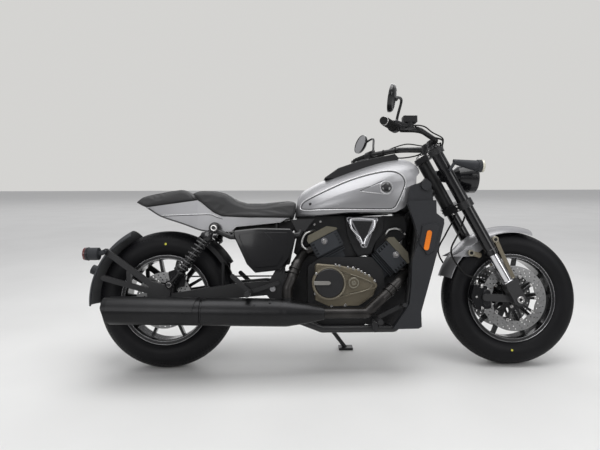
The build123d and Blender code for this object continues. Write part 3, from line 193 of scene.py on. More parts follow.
BAR_STEEL = finish_material("clutch_bar_steel", (0.34, 0.33, 0.31), 0.38, metal=0.85, vary=0.08)
SPRING_BLACK = finish_material("spring_black", (0.020, 0.020, 0.021), 0.20, vary=0.1, coat=0.7,
                               coat_rough=0.08)
SHIELD = finish_material("heat_shield", (0.020, 0.020, 0.021), 0.38, metal=0.6, vary=0.12, grain=600)
DOT_YELLOW = finish_material("tyre_dot", (0.52, 0.50, 0.05), 0.6, vary=0.1)
TYRE = finish_material("tyre_rubber", (0.006, 0.006, 0.007), 0.46, vary=0.22, grain=900, grain_depth=0.0001,
                       rough_spread=0.10, broad=9, shine=0.16)


def vinyl(name, colour):
    """Seat vinyl: a fine pebbled grain under a soft sheen."""
    material, tree, shader = new_material(name)
    coord = tree.nodes.new("ShaderNodeTexCoord")
    cells = tree.nodes.new("ShaderNodeTexVoronoi")
    cells.inputs["Scale"].default_value = 620
    tree.links.new(coord.outputs["Object"], cells.inputs["Vector"])
    broad_noise = noise(tree, 9, 4)
    factor = spread(tree, broad_noise, 0, 1)
    dark = tuple(channel * 0.85 for channel in colour)
    light = tuple(channel * 1.15 for channel in colour)
    tree.links.new(mix_colour(tree, factor, dark, light), shader.inputs["Base Color"])
    tree.links.new(spread(tree, broad_noise, 0.52, 0.66), shader.inputs["Roughness"])
    shader.inputs["Sheen Weight"].default_value = 0.05
    shader.inputs["Sheen Roughness"].default_value = 0.5
    bump(tree, shader, cells.outputs["Distance"], 0.25, 0.0003)
    return material


VINYL = vinyl("seat_vinyl", (0.017, 0.017, 0.018))


def two_part(name, above, below, point, direction):
    """One finish above a plane and another below it; the plane is given in the bike's frame."""
    material, tree, shader = new_material(name)
    turn = PARKED.to_3x3().normalized()
    normal = (turn @ Vector(direction)).normalized()
    level = normal.dot(PARKED @ Vector(point))
    coord = tree.nodes.new("ShaderNodeTexCoord")
    dot = tree.nodes.new("ShaderNodeVectorMath")
    dot.operation = "DOT_PRODUCT"
    dot.inputs[1].default_value = normal
    tree.links.new(coord.outputs["Object"], dot.inputs[0])
    factor = spread(tree, dot.outputs["Value"], 0, 1, level - 0.0002, level + 0.0002)
    tree.links.new(mix_colour(tree, factor, below[0], above[0]), shader.inputs["Base Color"])
    fine = noise(tree, 900, 2)
    for socket, part in (("Roughness", 1), ("Metallic", 2)):
        tree.links.new(spread(tree, factor, below[part], above[part], 0, 1), shader.inputs[socket])
    bump(tree, shader, fine, 0.2, 0.00002)
    return material


FORK_LOWER = two_part("fork_lower", ((0.68, 0.68, 0.70), 0.08, 1.0), ((0.020, 0.020, 0.021), 0.36, 0.0),
                      fork_point(0, 0, 90), FORK_UP)
NODE_MATERIALS = {SILVER: ["tank", "tail_cowl", "front_fender"],
                  BLACK_SATIN: ["frame_spine", "frame_cradle", "swingarm", "yokes", "handlebar",
                                "fender_bracket", "side_stand", "foot_controls", "battery_box",
                                "clutch_disc"],
                  BLACK_GLOSS: ["fork_uppers", "side_covers", "front_calipers", "rear_caliper", "shocks",
                                "headlight"], EXHAUST: ["muffler"], EXHAUST_PIPE: ["exhaust_pipes"],
                  PLASTIC: ["front_indicators", "rear_lamps", "rear_fender"],
                  PLASTIC_DARK: ["controls", "mirrors", "hugger", "belly_pan"], SHROUD: ["radiator_shroud"],
                  CONSOLE: ["tank_console"], CHROME: ["intake_cover"], FORK_LOWER: ["fork_lowers"],
                  STEEL: ["front_discs", "rear_disc", "front_axle", "rear_axle", "swingarm_pivot"],
                  BRONZE: ["clutch_cover", "generator_cover", "fender_stays"],
                  CYLINDER: ["rear_cylinder", "front_cylinder"], CAST: ["engine_case", "rear_pulley"],
                  RIM_PAINT: ["front_rim", "rear_rim"], RUBBER: ["grips", "drive_belt", "hoses"],
                  HEAD_BAND: ["head_bands"], RADIATOR: ["radiator"], AMBER: ["reflectors"],
                  TYRE: ["front_tyre", "rear_tyre"], VINYL: ["rider_seat", "pillion_pad"],}


def dress(obj, material):
    obj.data.materials.clear()
    obj.data.materials.append(material)


for material, names in NODE_MATERIALS.items():
    for name in names:
        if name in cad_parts:
            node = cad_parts[name]
            for slot_number in range(max(1, len(node.material_slots))):
                if not node.material_slots:
                    node.data.materials.append(material)
                node.material_slots[slot_number].link = "OBJECT"
                node.material_slots[slot_number].material = material


# --- Stage: floor, light, camera ---
def stage_floor():
    bpy.ops.mesh.primitive_plane_add(size=60, location=(0, 0, 0))
    floor = bpy.context.object
    floor.name = "floor"
    material, tree, shader = new_material("floor_pale")
    tone = noise(tree, 1.5, 3)
    tree.links.new(mix_colour(tree, spread(tree, tone, 0, 1), (0.70, 0.70, 0.69), (0.74, 0.74, 0.73)),
                   shader.inputs["Base Color"])
    shader.inputs["Roughness"].default_value = 0.6
    floor.data.materials.append(material)


def world_light():
    world = bpy.data.worlds.new("studio")
    bpy.context.scene.world = world
    world.use_nodes = True
    tree = world.node_tree
    background = tree.nodes["Background"]
    path = tree.nodes.new("ShaderNodeLightPath")
    seen = tree.nodes.new("ShaderNodeBackground")
    seen.inputs["Color"].default_value = (0.66, 0.655, 0.64, 1)
    seen.inputs["Strength"].default_value = 1.0
    coord = tree.nodes.new("ShaderNodeTexCoord")
    split = tree.nodes.new("ShaderNodeSeparateXYZ")
    tree.links.new(coord.outputs["Generated"], split.inputs[0])
    height = spread(tree, split.outputs["Z"], 0, 1, 0.0, 0.75)
    tree.links.new(mix_colour(tree, height, (0.16, 0.16, 0.165), (1.0, 1.0, 1.02)),
                   background.inputs["Color"])
    background.inputs["Strength"].default_value = 0.62
    either = tree.nodes.new("ShaderNodeMath")
    either.operation = "MAXIMUM"
    tree.links.new(path.outputs["Is Camera Ray"], either.inputs[0])
    tree.links.new(path.outputs["Is Transmission Ray"], either.inputs[1])
    mixer = tree.nodes.new("ShaderNodeMixShader")
    tree.links.new(either.outputs[0], mixer.inputs[0])
    tree.links.new(background.outputs[0], mixer.inputs[1])
    tree.links.new(seen.outputs[0], mixer.inputs[2])
    tree.links.new(mixer.outputs[0], tree.nodes["World Output"].inputs["Surface"])


def area_light(name, place, aim, size, power):
    data = bpy.data.lights.new(name, "AREA")
    data.shape = "RECTANGLE"
    data.size, data.size_y = size
    data.energy = power
    lamp = bpy.data.objects.new(name, data)
    bpy.context.collection.objects.link(lamp)
    lamp.location = place
    lamp.rotation_euler = (Vector(aim) - Vector(place)).to_track_quat("-Z", "Y").to_euler()


def photo_camera():
    """The camera fitted to the photo, from the point on the floor under the rear axle."""
    place = Vector((565, -2030, 863)) + Vector((SHIFT.x, SHIFT.y, 0))
    yaw, pitch, roll = math.radians(1.16), math.radians(-5.88), math.radians(-0.13)
    ahead = Vector((math.sin(yaw) * math.cos(pitch), math.cos(yaw) * math.cos(pitch), math.sin(pitch)))
    right = Vector((math.cos(yaw), -math.sin(yaw), 0))
    up = right.cross(ahead)
    right, up = (right * math.cos(roll) + up * math.sin(roll), up * math.cos(roll) - right * math.sin(roll))
    data = bpy.data.cameras.new("photo_camera")
    data.sensor_width = 36
    data.lens = 455 / 600 * 36
    camera = bpy.data.objects.new("photo_camera", data)
    bpy.context.collection.objects.link(camera)
    camera.matrix_world = Matrix.Translation(place * 0.001) @ Matrix((right, up,
                                                                      -ahead)).transposed().to_4x4()
    bpy.context.scene.camera = camera


stage_floor()
world_light()
area_light("overhead", (0.0, -0.4, 3.2), (0, 0, 0.4), (3.4, 2.2), 70)
area_light("front_left", (-1.6, -3.6, 2.0), (0, 0, 0.5), (2.2, 1.6), 26)
area_light("front_right", (2.8, -2.8, 1.8), (0.3, 0, 0.5), (1.6, 1.6), 24)
area_light("behind", (0.0, 3.4, 2.4), (0, 0, 0.5), (3.0, 1.6), 26)
area_light("floor_far", (0.0, 9.0, 6.0), (0, 9.0, 0), (22.0, 10.0), 330)
photo_camera()
bpy.context.scene.view_settings.view_transform = "Standard"

# --- Ways of making pieces.  All shapes are drawn in the bike's own frame, mm. ---
SHARP_ANGLE = math.radians(35)


def make_piece(name, vertices, faces, material, body):
    """A mesh piece that rides on a body; its vertices are given in the bike's frame."""
    mesh = bpy.data.meshes.new(name)
    mesh.from_pydata([PARKED @ Vector(vertex) for vertex in vertices], [], faces)
    mesh.update()
    build = bmesh.new()
    build.from_mesh(mesh)
    bmesh.ops.recalc_face_normals(build, faces=build.faces)
    build.to_mesh(mesh)
    build.free()
    piece = bpy.data.objects.new(name, mesh)
    bpy.context.collection.objects.link(piece)
    for polygon in mesh.polygons:
        polygon.use_smooth = True
    mesh.set_sharp_from_angle(angle=SHARP_ANGLE)
    dress(piece, material)
    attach(piece, body)
    return piece


SIDES = ((1, "left"), (-1, "right"))


def turns(count, shift=0):
    """Angles spread evenly round a circle."""
    return [2 * math.pi * (step + shift) / count for step in range(count)]


def bands(rows, across, closed=False):
    """Faces between neighbouring loops of points; the last loop meets the first if closed."""
    faces = []
    for row in range(rows if closed else rows - 1):
        start, other = row * across, (row + 1) % rows * across
        for step in range(across):
            following = (step + 1) % across
            faces.append((start + step, start + following, other + following, other + step))
    return faces


def end_faces(rows, across):
    return [tuple(range(across)), tuple(range((rows - 1) * across, rows * across))]


def from_axle(ahead, left, up):
    return Vector((WHEELBASE + ahead, left, FRONT_R + up))


def axis_frame(direction):
    """This direction's unit vector and two unit vectors across it."""
    along = Vector(direction).normalized()
    first = along.orthogonal().normalized()
    return along, first, along.cross(first)


def lathe_shape(profile, origin, direction, segments=32, hexes=()):
    """Vertices and faces of a revolved profile of (along, radius); loops in hexes are six-sided."""
    along, first, second = axis_frame(direction)
    vertices = []
    for level, (height, radius) in enumerate(profile):
        for step in range(segments):
            angle = 2 * math.pi * step / segments
            reach = radius
            if level in hexes:
                turn = (math.degrees(angle) + 30) % 60 - 30
                reach = radius * math.cos(math.radians(30)) / math.cos(math.radians(turn))
            vertices.append(Vector(origin) + along * height
                            + (first * math.cos(angle) + second * math.sin(angle)) * reach)
    return vertices, bands(len(profile), segments) + end_faces(len(profile), segments)


def ball(radius, place, direction, segments):
    """A small ball round a place, its poles along a direction."""
    profile = [(radius * math.sin(math.radians(turn)), max(0.4, radius * math.cos(math.radians(turn))))
               for turn in range(-90, 91, 15)]
    return lathe_shape(profile, place, direction, segments)


class Gathered:
    """Many small shapes of one material and body, joined into one piece."""

    def __init__(self):
        self.vertices = []
        self.faces = []

    def add(self, shape):
        vertices, faces = shape
        start = len(self.vertices)
        self.vertices += vertices
        self.faces += [tuple(index + start for index in face) for face in faces]

    def bolt(self, place, direction, radius, height=None):
        """A socket-head bolt standing on a surface."""
        tall = height or radius * 0.8
        edge = radius * 0.18
        self.add(lathe_shape([(-1, radius), (tall - edge, radius), (tall, radius - edge),
                              (tall, radius * 0.55), (tall * 0.35, radius * 0.5)], place, direction, 24,
                             hexes=(3, 4)))

    def ring(self, place, direction, inner, outer, height, edge=1.0):
        """A flat ring with eased edges."""
        self.add(lathe_ring(place, direction, inner, outer, height, edge))

    def tube(self, route, radius, sides=12):
        self.add(tube_shape(route, radius, sides))

    def done(self, name, material, body):
        return make_piece(name, self.vertices, self.faces, material, body)


def piece_of(name, material, body, *shapes):
    """One piece from closed shapes of one material."""
    gathered = Gathered()
    for shape in shapes:
        gathered.add(shape)
    return gathered.done(name, material, body)


def lathe_ring(place, direction, inner, outer, height, edge=1.0, segments=64):
    """Vertices and faces of a closed ring."""
    profile = [(0, outer), (height - edge, outer), (height, outer - edge), (height, inner + edge),
               (height - edge, inner), (0, inner)]
    vertices, _ = lathe_shape(profile, place, direction, segments)
    return vertices, bands(len(profile), segments, closed=True)


def blend(before, start, end, after, t):
    """The Catmull-Rom point between start and end."""
    return 0.5 * (2 * start + (end - before) * t + (2 * before - 5 * start + 4 * end - after) * t**2
                  + (3 * start - before - 3 * end + after) * t**3)


def smooth_route(points, steps=8):
    """A Catmull-Rom line through the points."""
    points = [Vector(point) for point in points]
    padded = [points[0] * 2 - points[1]] + points + [points[-1] * 2 - points[-2]]
    route = []
    for before, start, end, after in zip(padded, padded[1:], padded[2:], padded[3:]):
        route += [blend(before, start, end, after, step / steps) for step in range(steps)]
    return route + [points[-1]]


def tube_shape(route, radius, sides=12, closed=False):
    """Vertices and faces of a round tube along a line of points."""
    vertices = []
    count = len(route)
    side_way = None
    for number, point in enumerate(route):
        before = route[number - 1] if number or closed else point
        after = route[(number + 1) % count] if number + 1 < count or closed else point
        along = (after - before).normalized()
        if side_way is None:
            side_way = along.orthogonal()
        side_way = (side_way - along * side_way.dot(along)).normalized()
        other = along.cross(side_way)
        for step in range(sides):
            angle = 2 * math.pi * step / sides
            vertices.append(point + (side_way * math.cos(angle) + other * math.sin(angle)) * radius)
    return vertices, bands(count, sides, closed) + ([] if closed else end_faces(count, sides))


def circle_loop(x, z, radius, count):
    return [(x + radius * math.cos(turn), z + radius * math.sin(turn)) for turn in turns(count)]


def plate(name, loops, y, thickness, material, body, ease=0.5):
    """A flat plate with holes; its loops are side-view outlines, X forward and Z up."""
    curve = bpy.data.curves.new(name, "CURVE")
    curve.dimensions = "2D"
    curve.fill_mode = "BOTH"
    curve.extrude = thickness / 2 - ease
    curve.bevel_depth = ease
    curve.bevel_resolution = 1
    curve.offset = -ease
    for loop in loops:
        spline = curve.splines.new("POLY")
        spline.points.add(len(loop) - 1)
        for point, (x, z) in zip(spline.points, loop):
            point.co = (x, z, 0, 1)
        spline.use_cyclic_u = True
    holder = bpy.data.objects.new(name + "_outline", curve)
    bpy.context.collection.objects.link(holder)
    mesh = bpy.data.meshes.new_from_object(holder.evaluated_get(bpy.context.evaluated_depsgraph_get()))
    bpy.data.objects.remove(holder)
    vertices = [(vertex.co.x, y + vertex.co.z, vertex.co.y) for vertex in mesh.vertices]
    faces = [tuple(polygon.vertices) for polygon in mesh.polygons]
    bpy.data.meshes.remove(mesh)
    return make_piece(name, vertices, faces, material, body)


def mesh_tree(*pieces):
    """A tree for finding points on pieces, in the bike's frame, mm."""
    build = bmesh.new()
    for piece in pieces:
        build.from_mesh(piece.data)
    bmesh.ops.transform(build, matrix=PARKED.inverted(), verts=build.verts)
    tree = BVHTree.FromBMesh(build)
    build.free()
    return tree


def surface_tree(*names):
    """The same for CAD nodes, by name."""
    return mesh_tree(*(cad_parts[name] for name in names))


LOOK_FROM = 400            # further out than any piece that is looked for


def onto(tree, x, z, hand, lift=0.0):
    """The point on a surface seen from the side at this X and Z, and its outward normal."""
    hit, normal, _, _ = tree.ray_cast(Vector((x, hand * LOOK_FROM, z)), Vector((0, -hand, 0)))
    if hit is None:
        return None, None
    if normal.y * hand < 0:
        normal = -normal
    return hit + normal * lift, normal


# --- Tyres with their tread ---
BEAD_R = 190.5
FLANGE_R = 202.0
TYRES = {
    # name: axle, radius, width, bead, shoulder, pitches, slant, groove width
    "front_tyre": (FRONT_AXLE, FRONT_R, 130, 44.5, 56, 22, 0.0120, 7.0),
    "rear_tyre": (REAR_AXLE, REAR_R, 146, 55, 64, 18, 0.0100, 9.0),
}
TREAD_STEPS = 540


def arc_through(start, middle, end, steps):
    """Points along the arc through three points."""
    (ax, ay), (bx, by), (cx, cy) = start, middle, end
    d = 2 * (ax * (by - cy) + bx * (cy - ay) + cx * (ay - by))
    ux = ((ax**2 + ay**2) * (by - cy) + (bx**2 + by**2) * (cy - ay) + (cx**2 + cy**2) * (ay - by)) / d
    uy = ((ax**2 + ay**2) * (cx - bx) + (bx**2 + by**2) * (ax - cx) + (cx**2 + cy**2) * (bx - ax)) / d
    radius = math.hypot(ax - ux, ay - uy)
    first = math.atan2(ay - uy, ax - ux)
    last = math.atan2(cy - uy, cx - ux)
    if last - first > math.pi:
        last -= 2 * math.pi
    if first - last > math.pi:
        last += 2 * math.pi
    return [(ux + radius * math.cos(first + (last - first) * step / steps),
             uy + radius * math.sin(first + (last - first) * step / steps)) for step in range(steps + 1)]


# place and half width as shares of the sidewall, height in mm
SIDEWALL_RIBS = ((0.07, 0.035, 1.6), (0.22, 0.010, 0.7), (0.52, 0.008, 0.6), (0.80, 0.020, -1.0))
PLAIN_BAND, TREAD_DEPTH, GROOVE_SLOPE = 7, 4.0, 1.5


def sidewall_relief(radius, tyre_radius):
    """Ribs moulded round the sidewall, given by the distance from the axle."""
    share = (radius - FLANGE_R) / (tyre_radius - FLANGE_R)
    relief = 0.0
    for centre, width, height in SIDEWALL_RIBS:
        relief += height * max(0.0, 1 - abs(share - centre) / width)
    return relief


def make_tyre(name):
    axle, radius, width, bead, shoulder, pitches, slant, groove = TYRES[name]
    edge = bead - 0.3
    inner = BEAD_R + 0.3
    drop = radius - CROWN_R + math.sqrt(CROWN_R**2 - shoulder**2)
    wall = arc_through((edge, FLANGE_R + 1), (width / 2, (FLANGE_R + drop) / 2), (shoulder, drop), 22)
    crown = arc_through((shoulder, drop), (0, radius), (-shoulder, drop), 44)
    section = ([(edge, inner)] + wall + crown[1:-1] + [(-y, r) for y, r in reversed(wall)] + [(-edge, inner)])
    vertices = []
    for angle in turns(TREAD_STEPS):
        for y, r in section:
            sink = 0.0
            reach = abs(y)
            if r >= drop - 1 and PLAIN_BAND < reach < shoulder + 1:
                half_pitch = (0.5 if y > 0 else 0) * 2 * math.pi / pitches
                phase = angle + slant * (reach - PLAIN_BAND) * (1 + reach / 90) + half_pitch
                gap = (phase * pitches / (2 * math.pi) + 0.5) % 1 - 0.5
                across = abs(gap) * 2 * math.pi / pitches * r
                sink = TREAD_DEPTH * min(1, max(0, (groove / 2 + GROOVE_SLOPE - across) / GROOVE_SLOPE))
                if reach < 2 * PLAIN_BAND:
                    sink *= (reach - PLAIN_BAND) / PLAIN_BAND
            elif r > FLANGE_R + 1:
                sink = -0.8 * sidewall_relief(r, radius) * (1 if reach > bead + 3 else 0)
            outward = r - sink
            vertices.append(Vector(axle) + Vector((outward * math.cos(angle), y, outward * math.sin(angle))))
    faces = bands(TREAD_STEPS, len(section), closed=True)
    body = "front_wheel" if name == "front_tyre" else "rear_wheel"
    piece = make_piece(name + "_rubber", vertices, faces, TYRE, body)
    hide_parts(name)
    return piece


for tyre_name in TYRES:
    make_tyre(tyre_name)


# --- Wheels: rim lips, drilled discs, carriers and their bolts ---
ROTOR_BAND = 44
HOLE_ROWS, HOLES_A_ROW, HOLE_R = (0.22, 0.5, 0.78), 30, 3.1
CARRIER_ARMS, CARRIER_T = 10, 6
HUB_OPENING_R, HUB_BOLTS_R, BOSS_R = 24, 38, 48


def drilled_rotor(name, axle, radius, faces_y, body):
    """Drilled brake rotors, one piece at each y."""
    inner = radius - ROTOR_BAND
    holes = []
    for row, share in enumerate(HOLE_ROWS):
        distance = inner + (radius - inner) * share
        for turn in turns(HOLES_A_ROW, row / 3):
            holes.append(circle_loop(axle.x + distance * math.cos(turn),
                                     axle.z + distance * math.sin(turn), HOLE_R, 10))
    scallops = [(axle.x + (inner + 3 * math.cos(10 * turn)) * math.cos(turn),
                 axle.z + (inner + 3 * math.cos(10 * turn)) * math.sin(turn))
                for turn in turns(180)]
    outer = circle_loop(axle.x, axle.z, radius, 120)
    return [plate(f"{name}_{number}", [outer, scallops] + holes, y, DISC_T, ROTOR, body)
            for number, y in enumerate(faces_y)]


def disc_carrier(name, axle, radius, y, hub, body):
    """The black carrier: a hub ring with ten arms that reach the rotor's bobbins."""
    outline = []
    for middle in turns(CARRIER_ARMS):
        for offset, distance in ((-0.20, 52), (-0.075, 62), (-0.065, radius - 46), (0.065, radius - 46),
                                 (0.075, 62), (0.20, 52)):
            outline.append((axle.x + distance * math.cos(middle + offset),
                            axle.z + distance * math.sin(middle + offset)))
    hub_holes = [circle_loop(axle.x + HUB_BOLTS_R * math.cos(turn), axle.z + HUB_BOLTS_R * math.sin(turn),
                             4, 12) for turn in turns(5, 0.5)]
    boss = Gathered()
    inward = 1 if y < 0 else -1
    boss.add(lathe_ring(Vector(axle) + Vector((0, y, 0)), (0, inward, 0), HUB_OPENING_R, BOSS_R,
                        abs(y) - hub + 0.2, 1.5))
    boss.done(name + "_boss", RIM_PAINT, body)
    return plate(name, [outline, circle_loop(axle.x, axle.z, HUB_OPENING_R, 32)] + hub_holes, y, CARRIER_T,
                 RIM_PAINT, body)


ROTOR = finish_material("rotor_steel", (0.30, 0.30, 0.30), 0.32, metal=1.0, vary=0.10, grain=900,
                        grain_depth=0.00006, broad=30)
FRONT_DISC_Y, FRONT_DISC_R = 68, 148
REAR_DISC_Y, REAR_DISC_R = 82, 125
DISC_T = 5
front_rotors = drilled_rotor("front_rotor", FRONT_AXLE, FRONT_DISC_R, (-FRONT_DISC_Y, FRONT_DISC_Y),
                             "front_wheel")
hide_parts("front_discs")
rear_rotors = drilled_rotor("rear_rotor", REAR_AXLE, REAR_DISC_R, (-REAR_DISC_Y,), "rear_wheel")
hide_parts("rear_disc")
disc_carrier("front_carrier_right", FRONT_AXLE, FRONT_DISC_R, -FRONT_DISC_Y + 2, 62, "front_wheel")
disc_carrier("front_carrier_left", FRONT_AXLE, FRONT_DISC_R, FRONT_DISC_Y - 2, 62, "front_wheel")
disc_carrier("rear_carrier", REAR_AXLE, REAR_DISC_R, -REAR_DISC_Y + 2, 72, "rear_wheel")


def wheel_fasteners(name, axle, faces, radius, body):
    """Bobbins round the rotors and bolts on the hub; faces gives each disc's y."""
    bobbins = Gathered()
    for y in faces:
        out = Vector((0, -1 if y < 0 else 1, 0))
        for turn in turns(10):
            place = Vector(axle) + Vector((radius * math.cos(turn), y, radius * math.sin(turn))) + out * 1.5
            bobbins.ring(place, out, 2.5, 7.5, 3.2, 0.6)
        for turn in turns(5, 0.5):
            place = Vector(axle) + Vector((38 * math.cos(turn), y, 38 * math.sin(turn))) + out * 2
            bobbins.bolt(place, out, 7.5, 6)
    return bobbins.done(name, BOLT_STEEL, body)


wheel_fasteners("front_disc_bolts", FRONT_AXLE, (-FRONT_DISC_Y, FRONT_DISC_Y), 101, "front_wheel")
wheel_fasteners("rear_disc_bolts", REAR_AXLE, (-REAR_DISC_Y,), 79, "rear_wheel")


def rim_lips(name, axle, bead, body):
    """A bright machined edge round both sides of the rim."""
    lips = Gathered()
    for hand in (1, -1):
        face = Vector(axle) + Vector((0, hand * (bead + 6), 0))
        lips.add(lathe_ring(face - Vector((0, hand * 0.8, 0)), (0, hand, 0), 184.8, 187.2, 1.6, 0.6, 160))
        lips.add(lathe_ring(face - Vector((0, hand * 0.8, 0)), (0, hand, 0), 199.0, 201.6, 1.6, 0.6, 160))
    return lips.done(name, LIP_STEEL, body)


LIP_STEEL = finish_material("rim_lip_steel", (0.42, 0.42, 0.43), 0.22, metal=1.0, vary=0.10, broad=25)
rim_lips("front_rim_lips", FRONT_AXLE, 44.5, "front_wheel")
rim_lips("rear_rim_lips", REAR_AXLE, 55, "rear_wheel")


# --- Soft goods: the rider's seat and the passenger pad ---
VOXEL = 0.0055
CLOTH_FRAMES = 20
CLOTH_CAP = 0.0011          # metres of travel allowed for each mm that the shape was drawn in


def evaluated_mesh(obj):
    return bpy.data.meshes.new_from_object(obj.evaluated_get(bpy.context.evaluated_depsgraph_get()))


def use_mesh(obj, mesh):
    """Gives an object this mesh and drops its modifiers."""
    old = obj.data
    obj.modifiers.clear()
    obj.data = mesh
    bpy.data.meshes.remove(old)


def soft_piece(name, node, crown, pull_in, swell, pressure, shape_under):
    """A cushion inflated from a CAD piece; shape_under gives its base and top at an X."""
    back = PARKED.inverted()
    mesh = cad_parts[node].data.copy()
    mesh.transform(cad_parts[node].matrix_world)
    piece = bpy.data.objects.new(name, mesh)
    bpy.context.collection.objects.link(piece)
    remesh = piece.modifiers.new("remesh", "REMESH")
    remesh.mode = "VOXEL"
    remesh.voxel_size = VOXEL
    use_mesh(piece, evaluated_mesh(piece))
    points = [back @ vertex.co for vertex in piece.data.vertices]
    half = max(abs(point.y) for point in points)
    group = piece.vertex_groups.new(name="held")
    for number, point in enumerate(points):
        base, top = shape_under(point.x)
        height = min(1, max(0, (point.z - base) / max(12, top - base)))
        across = min(1, abs(point.y) / half)
        point.y *= 1 - pull_in * math.sin(math.pi / 2 * height) ** 2
        point.z -= height * (crown * across ** 2.4 + swell)
        if height < 0.06:
            group.add([number], 1.0, "REPLACE")
        piece.data.vertices[number].co = PARKED @ point
    smooth = piece.modifiers.new("ease", "SMOOTH")
    smooth.factor = 0.5
    smooth.iterations = 6
    use_mesh(piece, evaluated_mesh(piece))
    rest = [vertex.co.copy() for vertex in piece.data.vertices]
    cloth = piece.modifiers.new("cloth", "CLOTH")
    settings = cloth.settings
    settings.quality = 6
    settings.mass = 0.3
    settings.tension_stiffness = 30
    settings.compression_stiffness = 30
    settings.shear_stiffness = 15
    settings.bending_stiffness = 4
    settings.use_pressure = True
    settings.uniform_pressure_force = pressure
    settings.effector_weights.gravity = 0
    settings.vertex_group_mass = "held"
    cloth.collision_settings.use_self_collision = False
    cloth.point_cache.frame_start = 1
    cloth.point_cache.frame_end = CLOTH_FRAMES
    for number in range(1, CLOTH_FRAMES + 1):
        bpy.context.scene.frame_set(number)
    use_mesh(piece, evaluated_mesh(piece))
    bpy.context.scene.frame_set(1)
    for number, vertex in enumerate(piece.data.vertices):
        move = vertex.co - rest[number]
        if move.length > swell * CLOTH_CAP:
            vertex.co = rest[number] + move.normalized() * swell * CLOTH_CAP
    return piece


def seat_height(x):
    """The rider's seat in side view: its base and its top."""
    base = [(150, 752), (161, 750), (221, 701), (260, 684), (362, 679), (503, 677), (562, 676), (595, 690)]
    top = [(105, 803), (169, 808), (223, 806), (265, 796), (325, 761), (367, 749), (439, 749),
           (553, 760), (595, 762)]
    return along(base, x), along(top, x)


def pad_height(x):
    base = [(-140, 745), (-88, 728), (150, 757)]
    top = [(-140, 757), (-105, 783), (73, 818), (97, 812), (112, 800), (150, 758)]
    return along(base, x), along(top, x)


def along(line, x):
    """The height of a line of (x, z) points at this x."""
    if x <= line[0][0]:
        return line[0][1]
    for (x0, z0), (x1, z1) in zip(line, line[1:]):
        if x <= x1:
            return z0 + (z1 - z0) * (x - x0) / (x1 - x0)
    return line[-1][1]


def press_lines(piece, lines):
    """Presses stitched channels into the cushion: each line gives how far a point lies from it."""
    back = PARKED.inverted()
    mesh = piece.data
    moves = []
    for vertex in mesh.vertices:
        point = back @ vertex.co
        depth = sum(deep * math.exp(-(line(point) / wide) ** 2) for line, deep, wide in lines)
        moves.append(vertex.co - vertex.normal * depth * 0.001)
    for vertex, place in zip(mesh.vertices, moves):
        vertex.co = place


def finish_cushion(piece, node):
    divide = piece.modifiers.new("fine", "SUBSURF")
    divide.levels = 1
    divide.render_levels = 1
    use_mesh(piece, evaluated_mesh(piece))
    for polygon in piece.data.polygons:
        polygon.use_smooth = True
    dress(piece, VINYL)
    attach(piece, "frame")
    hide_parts(node)


def seam_route(tree, points, lift):
    """Points dropped onto a surface from above, in the bike's frame, mm."""
    route = []
    for x, y in points:
        hit = tree.ray_cast(Vector((x, y, 1000)), Vector((0, 0, -1)))[0]
        if hit:
            route.append(hit + Vector((0, 0, lift)))
    return route


def seat_seam(x):
    """Half the width between the seat's two long seams."""
    return along([(110, 76), (200, 84), (300, 96), (400, 108), (480, 104), (560, 84), (585, 74)], x)


rider_cushion = soft_piece("rider_cushion", "rider_seat", 12, 0.05, 7, 4.0, seat_height)
press_lines(rider_cushion, [(lambda point: abs(point.y) - seat_seam(point.x)
                             if point.z > seat_height(point.x)[0] + 12 else 99, 2.2, 4.5),
                            (lambda point: point.x - 296 - abs(point.y) * 0.25
                             if point.z > seat_height(point.x)[1] - 40 and abs(point.y) < seat_seam(point.x)
                             else 99, 2.0, 5.0),])
finish_cushion(rider_cushion, "rider_seat")
passenger_cushion = soft_piece("passenger_cushion", "pillion_pad", 8, 0.05, 5, 4.0, pad_height)
press_lines(passenger_cushion, [(lambda point: abs(point.y) - 72 if point.z > pad_height(point.x)[0] + 14
                                 and point.x > -96 else 99, 1.8, 4.0),])
finish_cushion(passenger_cushion, "pillion_pad")

THREAD = finish_material("seam_thread", (0.055, 0.055, 0.056), 0.7, vary=0.1, grain=2500, grain_depth=0.00008)


def stitch(name, piece, points):
    """Stitches along a seam: short threads that dip into the cover."""
    tree = mesh_tree(piece)
    route = seam_route(tree, points, 0.35)
    threads = Gathered()
    for number in range(0, len(route) - 1, 2):
        start, end = route[number], route[number + 1]
        threads.tube([start, (start + end) / 2 + Vector((0, 0, 0.25)), end], 0.7, 6)
    return threads.done(name, THREAD, "frame")


STITCH_STEP = 3.4


def stitch_points(low, high, side_of):
    places = [low + STITCH_STEP * number for number in range(int((high - low) / STITCH_STEP))]
    return [(place, side_of(place)) for place in places]


for hand, word in SIDES:
    stitch(f"rider_seam_{word}", rider_cushion,
           stitch_points(118, 575, lambda x: hand * (seat_seam(x) - 5)))
    stitch(f"passenger_seam_{word}", passenger_cushion, stitch_points(-90, 88, lambda x: hand * 67))


# --- Tank: the panel's bead, partly brightened as painted highlight, and its groove drawn as a dark line of painted shade; the dome with its relief, the small cap screws ---
TANK_PANEL = [(610, 716), (614, 740), (640, 762), (736, 807), (812, 840), (890, 866), (966, 883), (1012, 887),
              (1045, 880), (1066, 864), (1077, 838), (1075, 815), (1058, 775), (1040, 737), (1028, 718),
              (1006, 709), (930, 708), (811, 710), (700, 710), (640, 709)]
DOME = (987, 806)
DOME_R = 23
RELIEF_TIP = (869, 791)


def closed_route(points, steps=8):
    """A closed smooth line through (x, z) points."""
    count = len(points)
    route = []
    for number in range(count):
        before, start, end, after = (Vector(points[(number + shift) % count]) for shift in (-1, 0, 1, 2))
        route += [blend(before, start, end, after, step / steps) for step in range(steps)]
    return route


